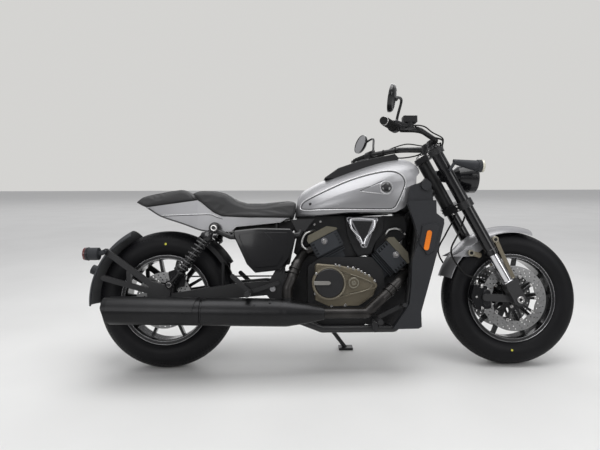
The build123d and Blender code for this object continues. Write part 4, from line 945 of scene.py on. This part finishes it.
def shrunk(route, distance):
    """The same closed line, moved to its inside by this distance."""
    count = len(route)
    moved = []
    for number, point in enumerate(route):
        way = (route[(number + 1) % count] - route[number - 1]).normalized()
        moved.append(point + Vector((way.y, -way.x)) * distance)
    return moved


def laid_line(tree, route, hand, lift):
    """A side-view line laid on a surface."""
    places = [onto(tree, point.x, point.y, hand, lift)[0] for point in route]
    return [place for place in places if place is not None]


tank_tree = surface_tree("tank")
# Bright silver for the tank's trim bead and the dome ring, and for the pale lines of painted highlight on the
# tank relief and the tail crease. The bead's brightness is partly painted highlight.
TRIM_AND_HIGHLIGHT = finish_material("silver_trim_and_painted_highlight", (0.60, 0.60, 0.61), 0.28, metal=0.8, vary=0.05, coat=0.4,
                       coat_rough=0.2)
# A dark line colour that paints shade: in the tank panel's groove, along the tail crease and along the tank
# relief's upper edge.
SHADE_LINE = finish_material("groove_shadow", (0.030, 0.030, 0.032), 0.6, vary=0.1)
panel_route = closed_route(TANK_PANEL, 8)
for hand, word in SIDES:
    # The bead along the panel edge; its bright silver is partly painted highlight.
    piece_of(f"tank_bead_and_highlight_{word}", TRIM_AND_HIGHLIGHT, "frame",
             tube_shape(laid_line(tank_tree, panel_route, hand, 0.2), 3.2, 12, closed=True))
    # A dark tube just inside the bead: painted shade in the panel's groove.
    piece_of(f"tank_groove_shade_{word}", SHADE_LINE, "frame",
             tube_shape(laid_line(tank_tree, shrunk(panel_route, 5.2), hand, -0.5), 2.2, 10, closed=True))
    place, normal = onto(tank_tree, DOME[0], DOME[1], hand)
    piece_of(f"tank_dome_{word}", DOME_BLACK, "frame",
             lathe_shape([(-3, DOME_R)] + [(3 + 7 * math.sin(math.radians(turn)),
                                            DOME_R * math.cos(math.radians(turn)))
                                           for turn in range(0, 90, 9)] + [(10, 0.6)], place, normal, 48))
    piece_of(f"tank_dome_ring_{word}", TRIM_AND_HIGHLIGHT, "frame",
             lathe_ring(place - normal * 2, normal, DOME_R, DOME_R + 8, 6.5, 2.2, 72))


def teardrop(name, hand):
    """A pressed relief that widens from its tip to the dome."""
    tip, centre = Vector(RELIEF_TIP), Vector(DOME)
    run = centre - tip
    across = Vector((-run.y, run.x)).normalized()
    rows, columns = 24, 14
    vertices, faces = [], []
    for row in range(rows + 1):
        share = row / rows
        wide = (DOME_R + 11) * share ** 0.9
        for column in range(columns + 1):
            side_share = 2 * column / columns - 1
            flat = tip + run * share + across * wide * side_share
            rise = 2.6 * min(1, 6 * (1 - abs(side_share))) * min(1, share * 5) - 0.4
            place = onto(tank_tree, flat.x, flat.y, hand, rise)[0]
            vertices.append(place)
    for row in range(rows):
        for column in range(columns):
            start = row * (columns + 1) + column
            faces.append((start, start + 1, start + columns + 2, start + columns + 1))
    make_piece(name, vertices, faces, SILVER, "frame")


HEAD_SUNK = 0.3


def fixed_bolts(name, node, points, body, material=None, hand=-1):
    """Cap screws on a CAD piece; points are (x, z, radius) in side view."""
    tree = surface_tree(node)
    heads = Gathered()
    centre_x = sum(x for x, _, _ in points) / len(points)
    centre_z = sum(z for _, z, _ in points) / len(points)
    for x, z, radius in points:
        for share in (0, 0.04, 0.08, 0.12, 0.16, 0.20, 0.25, 0.30, 0.36):
            place, normal = onto(tree, x + (centre_x - x) * share, z + (centre_z - z) * share,
                                 hand, -HEAD_SUNK)
            if place is not None:
                heads.bolt(place, (0, hand, 0) if abs(normal.y) < 0.9 else normal, radius)
                break
    return heads.done(name, material or BOLT_STEEL, body)


for hand, word in SIDES:
    teardrop(f"tank_relief_{word}", hand)
    fixed_bolts(f"tank_screw_{word}", "tank", [(652, 739, 6)], "frame", BLACK_GLOSS, hand)

# --- Front end: dust seals, axle ends, stay eyes, calipers, yokes, lamps ---
LEG_Y = 105
AXLE_END_Y = 136
FORK_DIRECTION = tuple(FORK_UP)
seals = Gathered()
for y in (-LEG_Y, LEG_Y):
    seals.add(lathe_ring(fork_point(0, y, 236), FORK_DIRECTION, 21.3, 29, 20, 3))
    seals.add(lathe_ring(fork_point(0, y, 228), FORK_DIRECTION, 21.3, 25.5, 9, 2))
seals.done("fork_dust_seals", BLACK_GLOSS, "steering")
leg_rings = Gathered()
for y in (-LEG_Y, LEG_Y):
    leg_rings.add(lathe_ring(fork_point(0, y, 88), FORK_DIRECTION, 21.1, 26, 7, 1.6))
leg_rings.done("fork_foot_rings", CHROME, "steering")
caps = Gathered()
for y in (-LEG_Y, LEG_Y):
    caps.add(lathe_shape([(0, 21), (5, 21), (7, 19), (7, 12), (12, 12), (13, 11), (13, 5), (8, 4.5)],
                         fork_point(0, y, 777.5), FORK_DIRECTION, 36, hexes=(3, 4)))
caps.done("fork_caps", BRUSHED_BLACK, "steering")
axle_ends = Gathered()
for hand in (1, -1):
    axle_ends.add(lathe_ring(FRONT_AXLE + Vector((0, hand * (AXLE_END_Y - 0.5), 0)), (0, hand, 0),
                             6.4, 14.5, 5, 1.5))
axle_ends.done("front_axle_ends", BOLT_STEEL, "steering")

STAY_EYES = [(1496, 576, 15), (1575, 392, 12), (1384, 515, 15)]
for hand, word in SIDES:
    stay_tree = surface_tree("fender_stays")
    eyes, screws = Gathered(), Gathered()
    for x, z, radius in STAY_EYES:
        place, normal = onto(stay_tree, x, z, hand, -2)
        if place is None:
            place, normal = Vector((x, hand * 82, z)), Vector((0, hand, 0))
        eyes.add(lathe_shape([(-4, radius), (4, radius), (5.5, radius - 1.5), (5.5, radius * 0.55),
                              (4, radius * 0.5)], place, (0, hand, 0), 40))
        screws.bolt(place + Vector((0, hand * 3.5, 0)), (0, hand, 0), radius * 0.48, 4)
    eyes.done(f"stay_eyes_{word}", BRONZE_PALE, "steering")
    screws.done(f"stay_screws_{word}", BLACK_GLOSS, "steering")
    fixed_bolts(f"caliper_bolts_{word}", "front_calipers", [(1424, 363, 6.5), (1424, 268, 6.5),
                                                            (1452, 352, 5), (1400, 318, 5)],
                "steering", BOLT_STEEL, hand)
    pistons = Gathered()
    for x, z in ((1446, 334), (1446, 292)):
        place, normal = onto(surface_tree("front_calipers"), x, z, hand, -1)
        if place is not None:
            pistons.add(lathe_shape([(0, 17), (3.5, 17), (5.5, 15), (5.5, 8), (4.5, 7)], place, normal, 40))
    pistons.done(f"caliper_caps_{word}", BRUSHED_BLACK, "steering")

YOKE_BACK = -36.5
yoke_bolts = Gathered()
for y in (-LEG_Y, LEG_Y):
    for up in (476, 492, 750, 762):
        place = fork_point(YOKE_BACK, y, up)
        yoke_bolts.bolt(place, tuple(-FORK_AHEAD), 5.5, 5)
yoke_bolts.add(lathe_shape([(-1, 24), (4, 24), (6, 22), (6, 14), (10, 14), (12, 12), (12, 6)],
                           fork_point(-38, 0, 768), FORK_DIRECTION, 42, hexes=(3, 4)))
yoke_bolts.done("yoke_bolts", BOLT_STEEL, "steering")

# Headlight: rim, dark lens and ring of light; the turn lamps' lenses
LAMP = from_axle(-186, 0, 562.5)
piece_of("headlight_rim", BRUSHED_BLACK, "steering",
         lathe_ring(LAMP + Vector((36, 0, 0)), (1, 0, 0), 62, 70.5, 10, 3, 96))
piece_of("headlight_lens", LENS_DARK, "steering",
         lathe_shape([(0, 62.5), (3, 62.5)] + [(3 + 11 * math.sin(math.radians(turn)),
                                                61 * math.cos(math.radians(turn)))
                                               for turn in range(6, 90, 7)] + [(14, 1)],
                     LAMP + Vector((43.6, 0, 0)), (1, 0, 0), 72))
piece_of("headlight_ring_light", LENS_PALE, "steering",
         lathe_ring(LAMP + Vector((53.2, 0, 0)), (1, 0, 0), 36, 40, 1.2, 0.5, 72))
for hand, word in SIDES:
    centre = from_axle(-174, hand * 152, 593.5)
    piece_of(f"indicator_rim_{word}", LENS_PALE, "steering",
             lathe_ring(centre + Vector((4, 0, 0)), (1, 0, 0), 22, 28.4, 10.5, 2, 60))
    piece_of(f"indicator_lens_{word}", LENS_PALE, "steering",
             lathe_shape([(0, 22.5), (1, 22.5), (3.5, 19), (5, 12), (5.6, 1)],
                         centre + Vector((12.6, 0, 0)), (1, 0, 0), 48))
    rear_face = Vector((-322, hand * 158, 521))
    piece_of(f"rear_lens_{word}", LENS_RED, "frame",
             lathe_shape([(-8, 27.6), (0, 27.6), (2, 25), (4, 16), (4.8, 1)], rear_face, (-1, 0, 0), 48))
    piece_of(f"rear_lamp_collar_{word}", BRUSHED_BLACK, "frame",
             lathe_ring(rear_face + Vector((14, 0, 0)), (1, 0, 0), 26.5, 29, 5, 1.2, 60))

# Mirrors: turned a little inward and up to the rider, on their curved stems
MIRROR_ACROSS, MIRROR_HIGH = 72, 52
MIRROR_STEPS = 64
MIRROR_TURN, MIRROR_TILT = math.radians(15), math.radians(12)
for hand, word in SIDES:
    centre = from_axle(-618, hand * 392, 817.5)
    facing = Vector((-math.cos(MIRROR_TURN) * math.cos(MIRROR_TILT), -hand * math.sin(MIRROR_TURN),
                     math.sin(MIRROR_TILT))).normalized()
    sideways = Vector((0, 0, 1)).cross(facing).normalized()
    upright = facing.cross(sideways)

    def oval(depth, share):
        return [centre + facing * depth + (sideways * (MIRROR_ACROSS * math.cos(turn)) + upright
                                           * (MIRROR_HIGH * math.sin(turn))) * share
                for turn in turns(MIRROR_STEPS)]

    rows = [oval(depth, share) for depth, share in ((4, 0.955), (6.5, 0.965), (7.5, 0.985), (6.5, 1.0),
                                                    (0, 1.0), (-6, 0.965), (-11, 0.86), (-14, 0.66),
                                                    (-15.5, 0.35))]
    vertices = [point for row in rows for point in row]
    faces = bands(len(rows), MIRROR_STEPS) + end_faces(len(rows), MIRROR_STEPS)
    shell = make_piece(f"mirror_shell_{word}", vertices, faces, BLACK_GLOSS, "steering")
    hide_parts("mirrors")
    make_piece(f"mirror_glass_{word}", oval(4.6, 0.95) + oval(4.0, 0.95),
               end_faces(2, MIRROR_STEPS) + bands(2, MIRROR_STEPS), MIRROR_GLASS, "steering")
    stem = Gathered()
    joint = centre - facing * 20
    stem.tube(smooth_route([from_axle(-572, hand * 266, 747),
                            from_axle(-568, hand * 280, 782),
                            from_axle(-562, hand * 322, 832),
                            joint + Vector((8, -hand * 16, 12)), joint], 10), 5.6, 16)
    stem.add(ball(9, joint + facing * 3, tuple(facing), 28))
    stem.add(lathe_shape([(0, 11), (10, 11), (12, 9), (18, 7)], from_axle(-572, hand * 266, 741),
                         (0, 0, 1), 28, hexes=(0, 1)))
    stem.done(f"mirror_stem_{word}", BLACK_SATIN, "steering")


# --- Shocks: damper bodies, seats and a coil spring along each one ---
SHOCK_Y = 150
SHOCK_TOP = (230, 631)
SHOCK_LOW = (39, 386)
SPRING_FOOT, SPRING_HEAD = 78, 250
SPRING_R, SPRING_WIRE, SPRING_TURNS = 22.5, 4.4, 9
for hand, word in SIDES:
    low = Vector((SHOCK_LOW[0], hand * SHOCK_Y, SHOCK_LOW[1]))
    high = Vector((SHOCK_TOP[0], hand * SHOCK_Y, SHOCK_TOP[1]))
    run = high - low
    length = run.length
    damper = Gathered()
    damper.add(lathe_shape([(13, 9), (20, 13), (58, 13), (66, 16), (68, 28), (74, 29), (78, 28), (78, 15),
                            (176, 15), (178, 13), (182, 13), (183, 9), (SPRING_HEAD, 9)], low, run, 48))
    damper.add(lathe_shape([(SPRING_HEAD, 12), (SPRING_HEAD, 27), (SPRING_HEAD + 6, 29),
                            (SPRING_HEAD + 16, 29), (SPRING_HEAD + 24, 20), (length - 26, 15),
                            (length - 14, 13)], low, run, 48))
    for eye in (low, high):
        damper.add(lathe_ring(eye - Vector((0, hand * 9, 0)), (0, hand, 0), 8.4, 19, 18, 2, 48))
    dampers = damper.done(f"shock_body_{word}", BLACK_GLOSS, "frame")
    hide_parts("shocks")
    spring = Gathered()
    along_run, first, second = axis_frame(run)
    coil = []
    steps = 28
    for number in range(SPRING_TURNS * steps + 1):
        turn = 2 * math.pi * number / steps
        share = number / (SPRING_TURNS * steps)
        eased = share + 0.035 * math.sin(2 * math.pi * share) * -1
        rise = SPRING_FOOT + SPRING_WIRE + (SPRING_HEAD - SPRING_FOOT - 2 * SPRING_WIRE) * eased
        coil.append(low + along_run * rise + (first * math.cos(turn) + second * math.sin(turn)) * SPRING_R)
    spring.add(tube_shape(coil, SPRING_WIRE, 12))
    spring.done(f"shock_spring_{word}", SPRING_BLACK, "frame")
    bolts = Gathered()
    for eye, radius in ((low, 7), (high, 8.5)):
        bolts.add(lathe_shape([(8, radius + 4), (11, radius + 4), (11, radius), (17, radius),
                               (18.5, radius - 1.5), (18.5, radius * 0.5), (14, radius * 0.45)],
                              eye, (0, hand, 0), 36, hexes=(2, 3, 4)))
    bolts.done(f"shock_bolts_{word}", BOLT_STEEL, "frame")

# --- Engine: air box and inner covers, screws, small pipes, the chrome cover's trim ---


def solid_slab(name, outline, near, far, material, body, ease=3.0):
    """A closed block from a side-view outline, between two values of Y, with eased edges."""
    return plate(name, [outline], (near + far) / 2, abs(near - far), material, body, ease)


solid_slab("air_box", [(812, 684), (990, 684), (982, 606), (948, 560), (930, 512), (868, 500), (846, 540),
                       (822, 600)], -79, 79, PLASTIC_DARK, "frame", 5)
wiring_cover = solid_slab("wiring_cover", [(574, 650), (604, 690), (812, 690), (850, 560), (870, 500),
                                           (700, 498), (640, 510), (604, 500), (578, 520), (592, 590)],
                          -62, 62, PLASTIC_DARK, "frame", 5)
solid_slab("under_seat_tray", [(300, 622), (330, 644), (520, 660), (566, 670), (590, 640), (560, 604),
                               (330, 604)], -66, 66, PLASTIC_DARK, "frame", 5)
solid_slab("tank_rear_pad", [(593, 688), (612, 690), (618, 742), (596, 746)], -58, 58, RUBBER, "frame", 2)
valley_cover = solid_slab("valley_cover", [(986, 688), (1088, 688), (1100, 640), (1092, 590), (1010, 520),
                                           (940, 520), (960, 600)], -62, 62, PLASTIC_DARK, "frame", 5)
solid_slab("gearbox_cover", [(566, 474), (600, 506), (640, 518), (704, 508), (704, 452), (650, 430),
                             (650, 236), (590, 240), (560, 330)], -56, 58, CAST, "frame", 6)
solid_slab("sump_cover", [(884, 200), (930, 186), (1044, 186), (1076, 240), (1096, 330), (1094, 420),
                          (1064, 440), (1000, 452), (960, 380)], -52, 52, CAST, "frame", 6)

COVER_BOLTS = [(743, 482, 6), (761, 482, 6), (815, 473, 6), (851, 470, 8), (880, 457, 6), (900, 445, 6),
               (921, 433, 6), (939, 420, 6), (948, 392, 6), (741, 288, 6), (800, 286, 6), (662, 430, 6),
               (664, 338, 6)]
fixed_bolts("cover_bolts", "clutch_cover", COVER_BOLTS, "frame")
HEAD_BOLTS = {"rear": (714, 572), "front": (1034, 510)}
for hand, ending in ((-1, ""), (1, "_left")):
    for end, (x, z) in HEAD_BOLTS.items():
        fixed_bolts(f"head_bolts_{end}{ending}", f"{end}_cylinder", [(x, z, 9.5)], "frame", hand=hand)
fixed_bolts("generator_bolts", "generator_cover",
            [(812 + 70 * math.cos(turn), 347 + 70 * math.sin(turn), 5.5)
             for turn in turns(8)], "frame", hand=1)
rings = Gathered()
for end, (x, z) in HEAD_BOLTS.items():
    for hand in (1, -1):
        place, normal = onto(surface_tree(f"{end}_cylinder"), x, z, hand)
        if place is not None:
            rings.ring(place, normal, 9.6, 14.5, 2.2, 0.8)
rings.done("head_bolt_rings", CHROME, "frame")

piece_of("breather_pipe", BRIGHT_PIPE, "frame",
         tube_shape(smooth_route([(676, -56, 622), (654, -84, 617), (630, -96, 606), (619, -100, 588),
                                  (613, -100, 562), (622, -98, 545), (638, -88, 534), (652, -58, 524)], 8),
                    5.5, 16))
piece_of("coolant_pipe", BRIGHT_PIPE, "frame",
         tube_shape(smooth_route([(994, -48, 592), (1000, -72, 606), (1012, -76, 622), (1040, -80, 628),
                                  (1066, -76, 620), (1080, -48, 610)], 8), 5.0, 16))
small = Gathered()
seats = [surface_tree("engine_case", "rear_cylinder", "front_cylinder", "intake_cover"),
         mesh_tree(wiring_cover), mesh_tree(valley_cover)]
for x, z in ((673, 649), (700, 662), (651, 499), (1006, 403), (1020, 396), (890, 512), (905, 500),
             (840, 566), (1086, 604)):
    hits = [found for found in (onto(tree, x, z, -1) for tree in seats) if found[0] is not None]
    if hits:
        place, normal = min(hits, key=lambda found: found[0].y)
        small.bolt(place, normal if normal.y < -0.8 else (0, -1, 0), 5.5, 5)
small.done("engine_small_bolts", BOLT_STEEL, "frame")


FACE_DEPTH = 0.4


def outer_face(node, hand):
    """The outline of a CAD piece's outermost flat face, seen from the side."""
    back = PARKED.inverted()
    points = [back @ vertex.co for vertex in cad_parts[node].data.vertices]
    far = max(point.y * hand for point in points)
    outermost = [point for point in points if point.y * hand > far - FACE_DEPTH]
    flat = sorted({(round(point.x, 2), round(point.z, 2)) for point in outermost})
    chains = []
    for order in (flat, list(reversed(flat))):
        chain = []
        for x, z in order:
            while len(chain) > 1 and ((chain[-1][0] - chain[-2][0]) * (z - chain[-2][1])
                                      - (chain[-1][1] - chain[-2][1]) * (x - chain[-2][0])) <= 0:
                chain.pop()
            chain.append((x, z))
        chains += chain[:-1]
    return chains, far


face_outline, face_far = outer_face("intake_cover", -1)
middle_x = sum(x for x, _ in face_outline) / len(face_outline)
middle_z = sum(z for _, z in face_outline) / len(face_outline)
inset_outline = [(middle_x + (x - middle_x) * 0.76, middle_z + 3 + (z - middle_z) * 0.80)
                 for x, z in face_outline]
solid_slab("intake_window", inset_outline, -face_far - 1.4, -face_far + 0.5, DOME_BLACK, "frame", 0.6)
trim = Gathered()
corner_left = min(inset_outline, key=lambda point: point[0] - point[1] * 0.3)
corner_right = max(inset_outline, key=lambda point: point[0] + point[1] * 0.3)
tip = min(inset_outline, key=lambda point: point[1])
trim_y = face_far * -1 - 0.5


def beside(point, ahead, up):
    return Vector((point[0] + ahead, trim_y, point[1] + up))


for corner, hand in ((corner_left, -1), (corner_right, 1)):
    trim.tube(smooth_route([beside(corner, hand * 8, 6), beside(corner, hand * 5, -30),
                            Vector((tip[0] + hand * 18, trim_y, tip[1] + 22)), beside(tip, hand * 5, -10)],
                           10), 6.2, 20)
trim.tube([beside(corner_left, -6, 9), Vector((middle_x, trim_y, corner_left[1] + 11)),
           beside(corner_right, 6, 9)], 6.0, 20)
trim.done("intake_trim", CHROME, "frame")
clutch_bar = [(664, 381), (728, 381), (735, 385), (737, 389.5), (735, 394), (728, 398), (664, 398)]
solid_slab("clutch_bar", clutch_bar, -165.6, -160.4, BAR_STEEL, "frame", 1.2)
piece_of("cover_rim_line", BRONZE_PALE, "frame",
         tube_shape([Vector((731 + 68.5 * math.cos(turn), -157.2, 388 + 68.5 * math.sin(turn)))
                     for turn in turns(96)], 1.3, 8, closed=True))
badge_screw = Gathered()
badge_screw.bolt((897, -112, 549), (0, -1, 0), 5.5, 4)
badge_screw.done("intake_screw", CHROME, "frame")

# --- Exhaust: heat shields, end ring, the bare recess's rim and the screws ---
MUFFLER_Y = -205
MUFFLER_R = 57
MUFFLER_RUN = Vector((916, 0, -19)).normalized()
MUFFLER_START = Vector((-214, MUFFLER_Y, 284.5))
MUFFLER_TOP = Vector((-MUFFLER_RUN.z, 0, MUFFLER_RUN.x))


def muffler_point(reach, turn, radius):
    """A point on the silencer: along it, turned round it from its top towards the outside."""
    angle = math.radians(turn)
    return (MUFFLER_START + MUFFLER_RUN * reach
            + (MUFFLER_TOP * math.cos(angle) + Vector((0, -1, 0)) * math.sin(angle)) * radius)


def muffler_sheet(name, near, far, low, high, lift, thickness, material, slant=0.0):
    """A curved sheet round the silencer, with closed edges."""
    columns, rows = 28, 18
    vertices, faces = [], []
    for level in (0, 1):
        radius = MUFFLER_R + lift + thickness * level
        for row in range(rows + 1):
            turn = low + (high - low) * row / rows
            for column in range(columns + 1):
                reach = near + (far - near + slant * (turn - low) / (high - low)) * column / columns
                vertices.append(muffler_point(reach, turn, radius))
    wide = columns + 1
    count = wide * (rows + 1)
    for row in range(rows):
        for column in range(columns):
            start = row * wide + column
            faces.append((start, start + 1, start + wide + 1, start + wide))
            faces.append((count + start, count + start + wide, count + start + wide + 1, count + start + 1))
    rim = ([row * wide for row in range(rows + 1)] + [rows * wide + column for column in range(1, wide)]
           + [row * wide + columns for row in range(rows - 1, -1, -1)] + list(range(columns - 1, 0, -1)))
    for number, index in enumerate(rim):
        following = rim[(number + 1) % len(rim)]
        faces.append((index, following, count + following, count + index))
    return make_piece(name, vertices, faces, material, "frame")


muffler_sheet("muffler_shield", 22, 402, -64, 84, 0.4, 2.4, SHIELD, slant=-30)
muffler_sheet("muffler_shield_front", 424, 700, -64, 66, 0.6, 2.4, SHIELD, slant=-46)
piece_of("muffler_end_ring", BRUSHED_BLACK, "frame",
         lathe_ring(MUFFLER_START + MUFFLER_RUN * 32, tuple(-MUFFLER_RUN), 22, 40, 12, 2, 64))
place = muffler_point(512, 92, MUFFLER_R - 1.2)
outward = tuple((place - muffler_point(512, 92, 0)).normalized())
piece_of("muffler_recess_rim", EXHAUST, "frame", lathe_ring(place, outward, 13, 16.5, 2.4, 0.8, 48))
clips = Gathered()
for reach, turn in ((626, 52), (690, 40), (60, -20), (360, -20)):
    spot = muffler_point(reach, turn, MUFFLER_R + 2.6)
    clips.bolt(spot, tuple((spot - muffler_point(reach, turn, 0)).normalized()), 5, 4)
clips.done("muffler_shield_screws", BRUSHED_BLACK, "frame")

# --- Handlebar: grip ribs, end rings, lever balls, switch buttons, the reservoir's screws ---
GRIP_IN = from_axle(-570, 262, 734.5)
GRIP_OUT = from_axle(-650, 408, 722.5)


def to_hand(point, hand):
    return Vector((point.x, point.y * hand, point.z))


for hand, word in SIDES:
    inner, outer = to_hand(GRIP_IN, hand), to_hand(GRIP_OUT, hand)
    grip_run = (outer - inner).normalized()
    ribs = Gathered()
    for number in range(13):
        ribs.add(lathe_ring(inner + grip_run * (60 + number * 7.6), tuple(grip_run),
                            16.6, 18.0, 4.2, 0.9, 40))
    ribs.done(f"grip_ribs_{word}", RUBBER, "steering")
    piece_of(f"bar_end_ring_{word}", BOLT_STEEL, "steering",
             lathe_ring(outer + grip_run * 3.5, tuple(grip_run), 14.5, 16.6, 4.5, 1.0, 48))
    lever_tip = outer - grip_run * 12 + Vector((0.80, 0.60 * hand, 0)) * 46 + Vector((0, 0, -8))
    piece_of(f"lever_ball_{word}", BRUSHED_BLACK, "steering", ball(8, lever_tip, (0, 0, 1), 24))
    switches = Gathered()
    for reach, turn, radius in ((24, 100, 6), (38, 100, 5), (30, 150, 5)):
        _, up_way, side_way = axis_frame(grip_run)
        out = (up_way * math.cos(math.radians(turn)) + side_way * math.sin(math.radians(turn)))
        switches.bolt(inner + grip_run * reach + out * 22.5, tuple(out), radius, 4)
    switches.done(f"switches_{word}", BRUSHED_BLACK, "steering")
lid = Gathered()
reservoir = to_hand(GRIP_IN, -1) + Vector((0.80, -0.60, 0)) * 58 + Vector((0, 0, 38))
for x, y in ((-20, -12), (20, -12), (-20, 12), (20, 12)):
    lid.bolt(reservoir + Vector((x, y, 0)), (0, 0, 1), 3.2, 2.4)
lid.done("reservoir_screws", BOLT_STEEL, "steering")

# Filler cap on the console
cap_tree = surface_tree("tank_console")
hit = cap_tree.ray_cast(Vector((905, 0, 1200)), Vector((0, 0, -1)))
if hit[0] is not None:
    piece_of("filler_cap", BRUSHED_BLACK, "frame", lathe_shape([(-2, 34), (5, 34), (7.5, 31.5), (7.5, 25),
                                                                (6, 24), (6, 12), (8, 11), (8, 2),
                                                                (7, 1.5)], hit[0],
                                                               tuple(hit[1] if hit[1].z > 0 else -hit[1]),
                                                               64))

# Yellow balance dots on the tyres, and the valve stems
for name, axle, radius, y, turn, body in (("front", FRONT_AXLE, 235, 62, -93, "front_wheel"),
                                          ("rear", REAR_AXLE, 251, 70, 90, "rear_wheel")):
    angle = math.radians(turn)
    spot = Vector(axle) + Vector((radius * math.cos(angle), 0, radius * math.sin(angle)))
    tyre_tree = surface_tree(name + "_tyre")
    place, normal = onto(tyre_tree, spot.x, spot.z, -1)
    if place is not None:
        dot = Gathered()
        dot.add(lathe_shape([(-0.5, 5), (0.9, 5), (1.1, 4.4)], place, tuple(normal), 24))
        dot.done(f"{name}_tyre_dot", DOT_YELLOW, body)
    stem = Gathered()
    low_turn = math.radians(-40)
    foot = Vector(axle) + Vector((math.cos(low_turn), 0, math.sin(low_turn))) * 180 + Vector((0, -30, 0))
    stem.add(lathe_shape([(0, 5), (8, 4.4), (20, 4.4), (22, 5), (30, 5), (32, 4)], foot,
                         (-math.cos(low_turn), -0.2, -math.sin(low_turn)), 20))
    stem.done(f"{name}_valve", BRUSHED_BLACK, body)


# --- Lines on the bodywork and covers, brake hoses and looms ---
def surface_lines(name, node, routes, radius, lift, material, body, hands=(1, -1)):
    """Thin lines laid on a CAD piece along side-view routes."""
    tree = surface_tree(node)
    lines = Gathered()
    for hand in hands:
        for points in routes:
            flat = [Vector((point.x, point.z)) for point in smooth_route([(x, 0, z) for x, z in points], 10)]
            places = laid_line(tree, flat, hand, lift)
            if len(places) > 3:
                lines.add(tube_shape(places, radius, 10))
    return lines.done(name, material, body)


# The tail cowl's crease: a dark line of painted shade, and just above it a pale line of painted highlight.
surface_lines("tail_crease_shadow", "tail_cowl", [[(-30, 687), (60, 689), (150, 691), (206, 691), (236, 680),
                                                   (262, 672)]], 1.5, -0.5, SHADE_LINE, "frame")
surface_lines("tail_crease_light", "tail_cowl", [[(-34, 690.5), (60, 692.5), (150, 694.5), (208, 694.5),
                                                  (240, 683)]], 1.9, -0.3, TRIM_AND_HIGHLIGHT, "frame")
surface_lines("tail_lower_edge", "tail_cowl", [[(-74, 723), (-14, 687), (80, 655), (174, 622), (240, 620)]],
              3.4, 0.2, BLACK_SATIN, "frame")
# The tank relief's edges: a dark line of painted shade along its upper edge and a pale line of painted
# highlight along its lower edge, as on a recess lit from above.
surface_lines("relief_shadow", "tank", [[(872, 792), (905, 806), (940, 822), (972, 836)]],
              1.5, 1.0, SHADE_LINE, "frame")
surface_lines("relief_light", "tank", [[(872, 789), (910, 784), (945, 780), (976, 776)]],
              1.6, 1.4, TRIM_AND_HIGHLIGHT, "frame")
surface_lines("cover_relief_line", "clutch_cover", [[(784, 434), (830, 424), (876, 410), (908, 394),
                                                     (920, 378), (908, 364), (876, 352), (830, 342),
                                                     (780, 336)]], 1.2, 0.2, BRONZE_PALE,
              "frame", hands=(-1,))
surface_lines("side_cover_crease", "side_covers", [[(442, 622), (462, 600), (486, 576)]],
              1.0, 0.1, BRUSHED_BLACK, "frame")

piece_of("oil_filler", BRONZE_PALE, "frame",
         lathe_ring((837, -156.4, 389), (0, -1, 0), 17, 23.5, 3.2, 1.2, 60),
         lathe_shape([(0, 11), (4, 11), (5.5, 9.5), (5.5, 5), (2, 4.5)], (837, -156.2, 389), (0, -1, 0), 36,
                     hexes=(0, 1)))

UPPER_TUBE_R, YOKE_WALL, HOSE_GAP, HOSE_R = 27, 9, 0.3, 4.0
HOSE_FRONT = UPPER_TUBE_R + YOKE_WALL + HOSE_GAP + HOSE_R
hose_shapes = Gathered()
for hand, start, radius in ((-1, [(-498, 291, 734), (-470, 262, 722), (-407, 200, 714)], 4.0),
                            (1, [(-496, 284, 730), (-440, 225, 706), (-376, 150, 702)], 3.5)):
    points = [from_axle(ahead, left * hand, up) for ahead, left, up in start]
    points += [fork_point(HOSE_FRONT + 3, hand * 124, 792), fork_point(HOSE_FRONT + 16, hand * 84, 776),
               fork_point(HOSE_FRONT, hand * 70, 760), fork_point(HOSE_FRONT, hand * 70, 746)]
    hose_shapes.tube(smooth_route(points, 10), radius, 14)
for hand in (1, -1):
    points = [fork_point(-8, hand * 66, 467.7), fork_point(-8, hand * 66, 438),
              from_axle(-252, hand * 86, 300), from_axle(-290, hand * 90, 212),
              from_axle(-236, hand * 90, 120), from_axle(-172, hand * 80, 90),
              from_axle(-172, hand * 80, 63.4)]
    hose_shapes.tube(smooth_route(points, 10), 4.0, 14)
brake_hoses = hose_shapes.done("brake_hoses", RUBBER, "steering")
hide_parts("hoses")
fittings = Gathered()
for hand in (1, -1):
    end = from_axle(-172, hand * 80, 63.4)
    fittings.add(lathe_shape([(0, 8), (6, 8), (7, 5.5), (22, 5.5), (23, 5)], end, (0, 0, 1),
                             24, hexes=(0, 1)))
    fittings.add(lathe_shape([(0, 7), (5, 7), (6, 5.2), (18, 5.2)], fork_point(-8, hand * 66, 467.7),
                             tuple(-FORK_UP), 24, hexes=(0, 1)))
fittings.done("hose_fittings", BOLT_STEEL, "steering")


looms, ties = Gathered(), Gathered()
for hand in (1, -1):
    under_bar = [from_axle(ahead + 5, left * hand, up - 13.4)
                 for ahead, left, up in ((-556, 254, 735.7), (-452, 196, 744), (-350, 94, 723))]
    looms.tube(smooth_route(under_bar + [fork_point(HOSE_FRONT + 12, hand * 72, 782),
                                         fork_point(HOSE_FRONT + 4, hand * 56, 764),
                                         fork_point(HOSE_FRONT, hand * 54, 746)], 10), 3.5, 14)
    over_bar = [from_axle(ahead, left * hand, up)
                for ahead, left, up in ((-508, 240, 746), (-470, 214, 760), (-420, 166, 766),
                                        (-376, 126, 752))]
    looms.tube(smooth_route(over_bar + [fork_point(HOSE_FRONT + 20, hand * 100, 796),
                                        fork_point(HOSE_FRONT + 8, hand * 88, 768),
                                        fork_point(HOSE_FRONT, hand * 86, 746)], 10), 3.0, 14)
    outer, inner = from_axle(-556, 254 * hand, 735.7), from_axle(-452, 196 * hand, 744)
    for share in (0.3, 0.85):
        ties.add(lathe_ring(outer.lerp(inner, share), tuple((inner - outer).normalized()),
                            11.1, 13.6, 6, 0.8, 32))
looms.done("bar_looms", RUBBER, "steering")
ties.done("bar_ties", RUBBER, "steering")
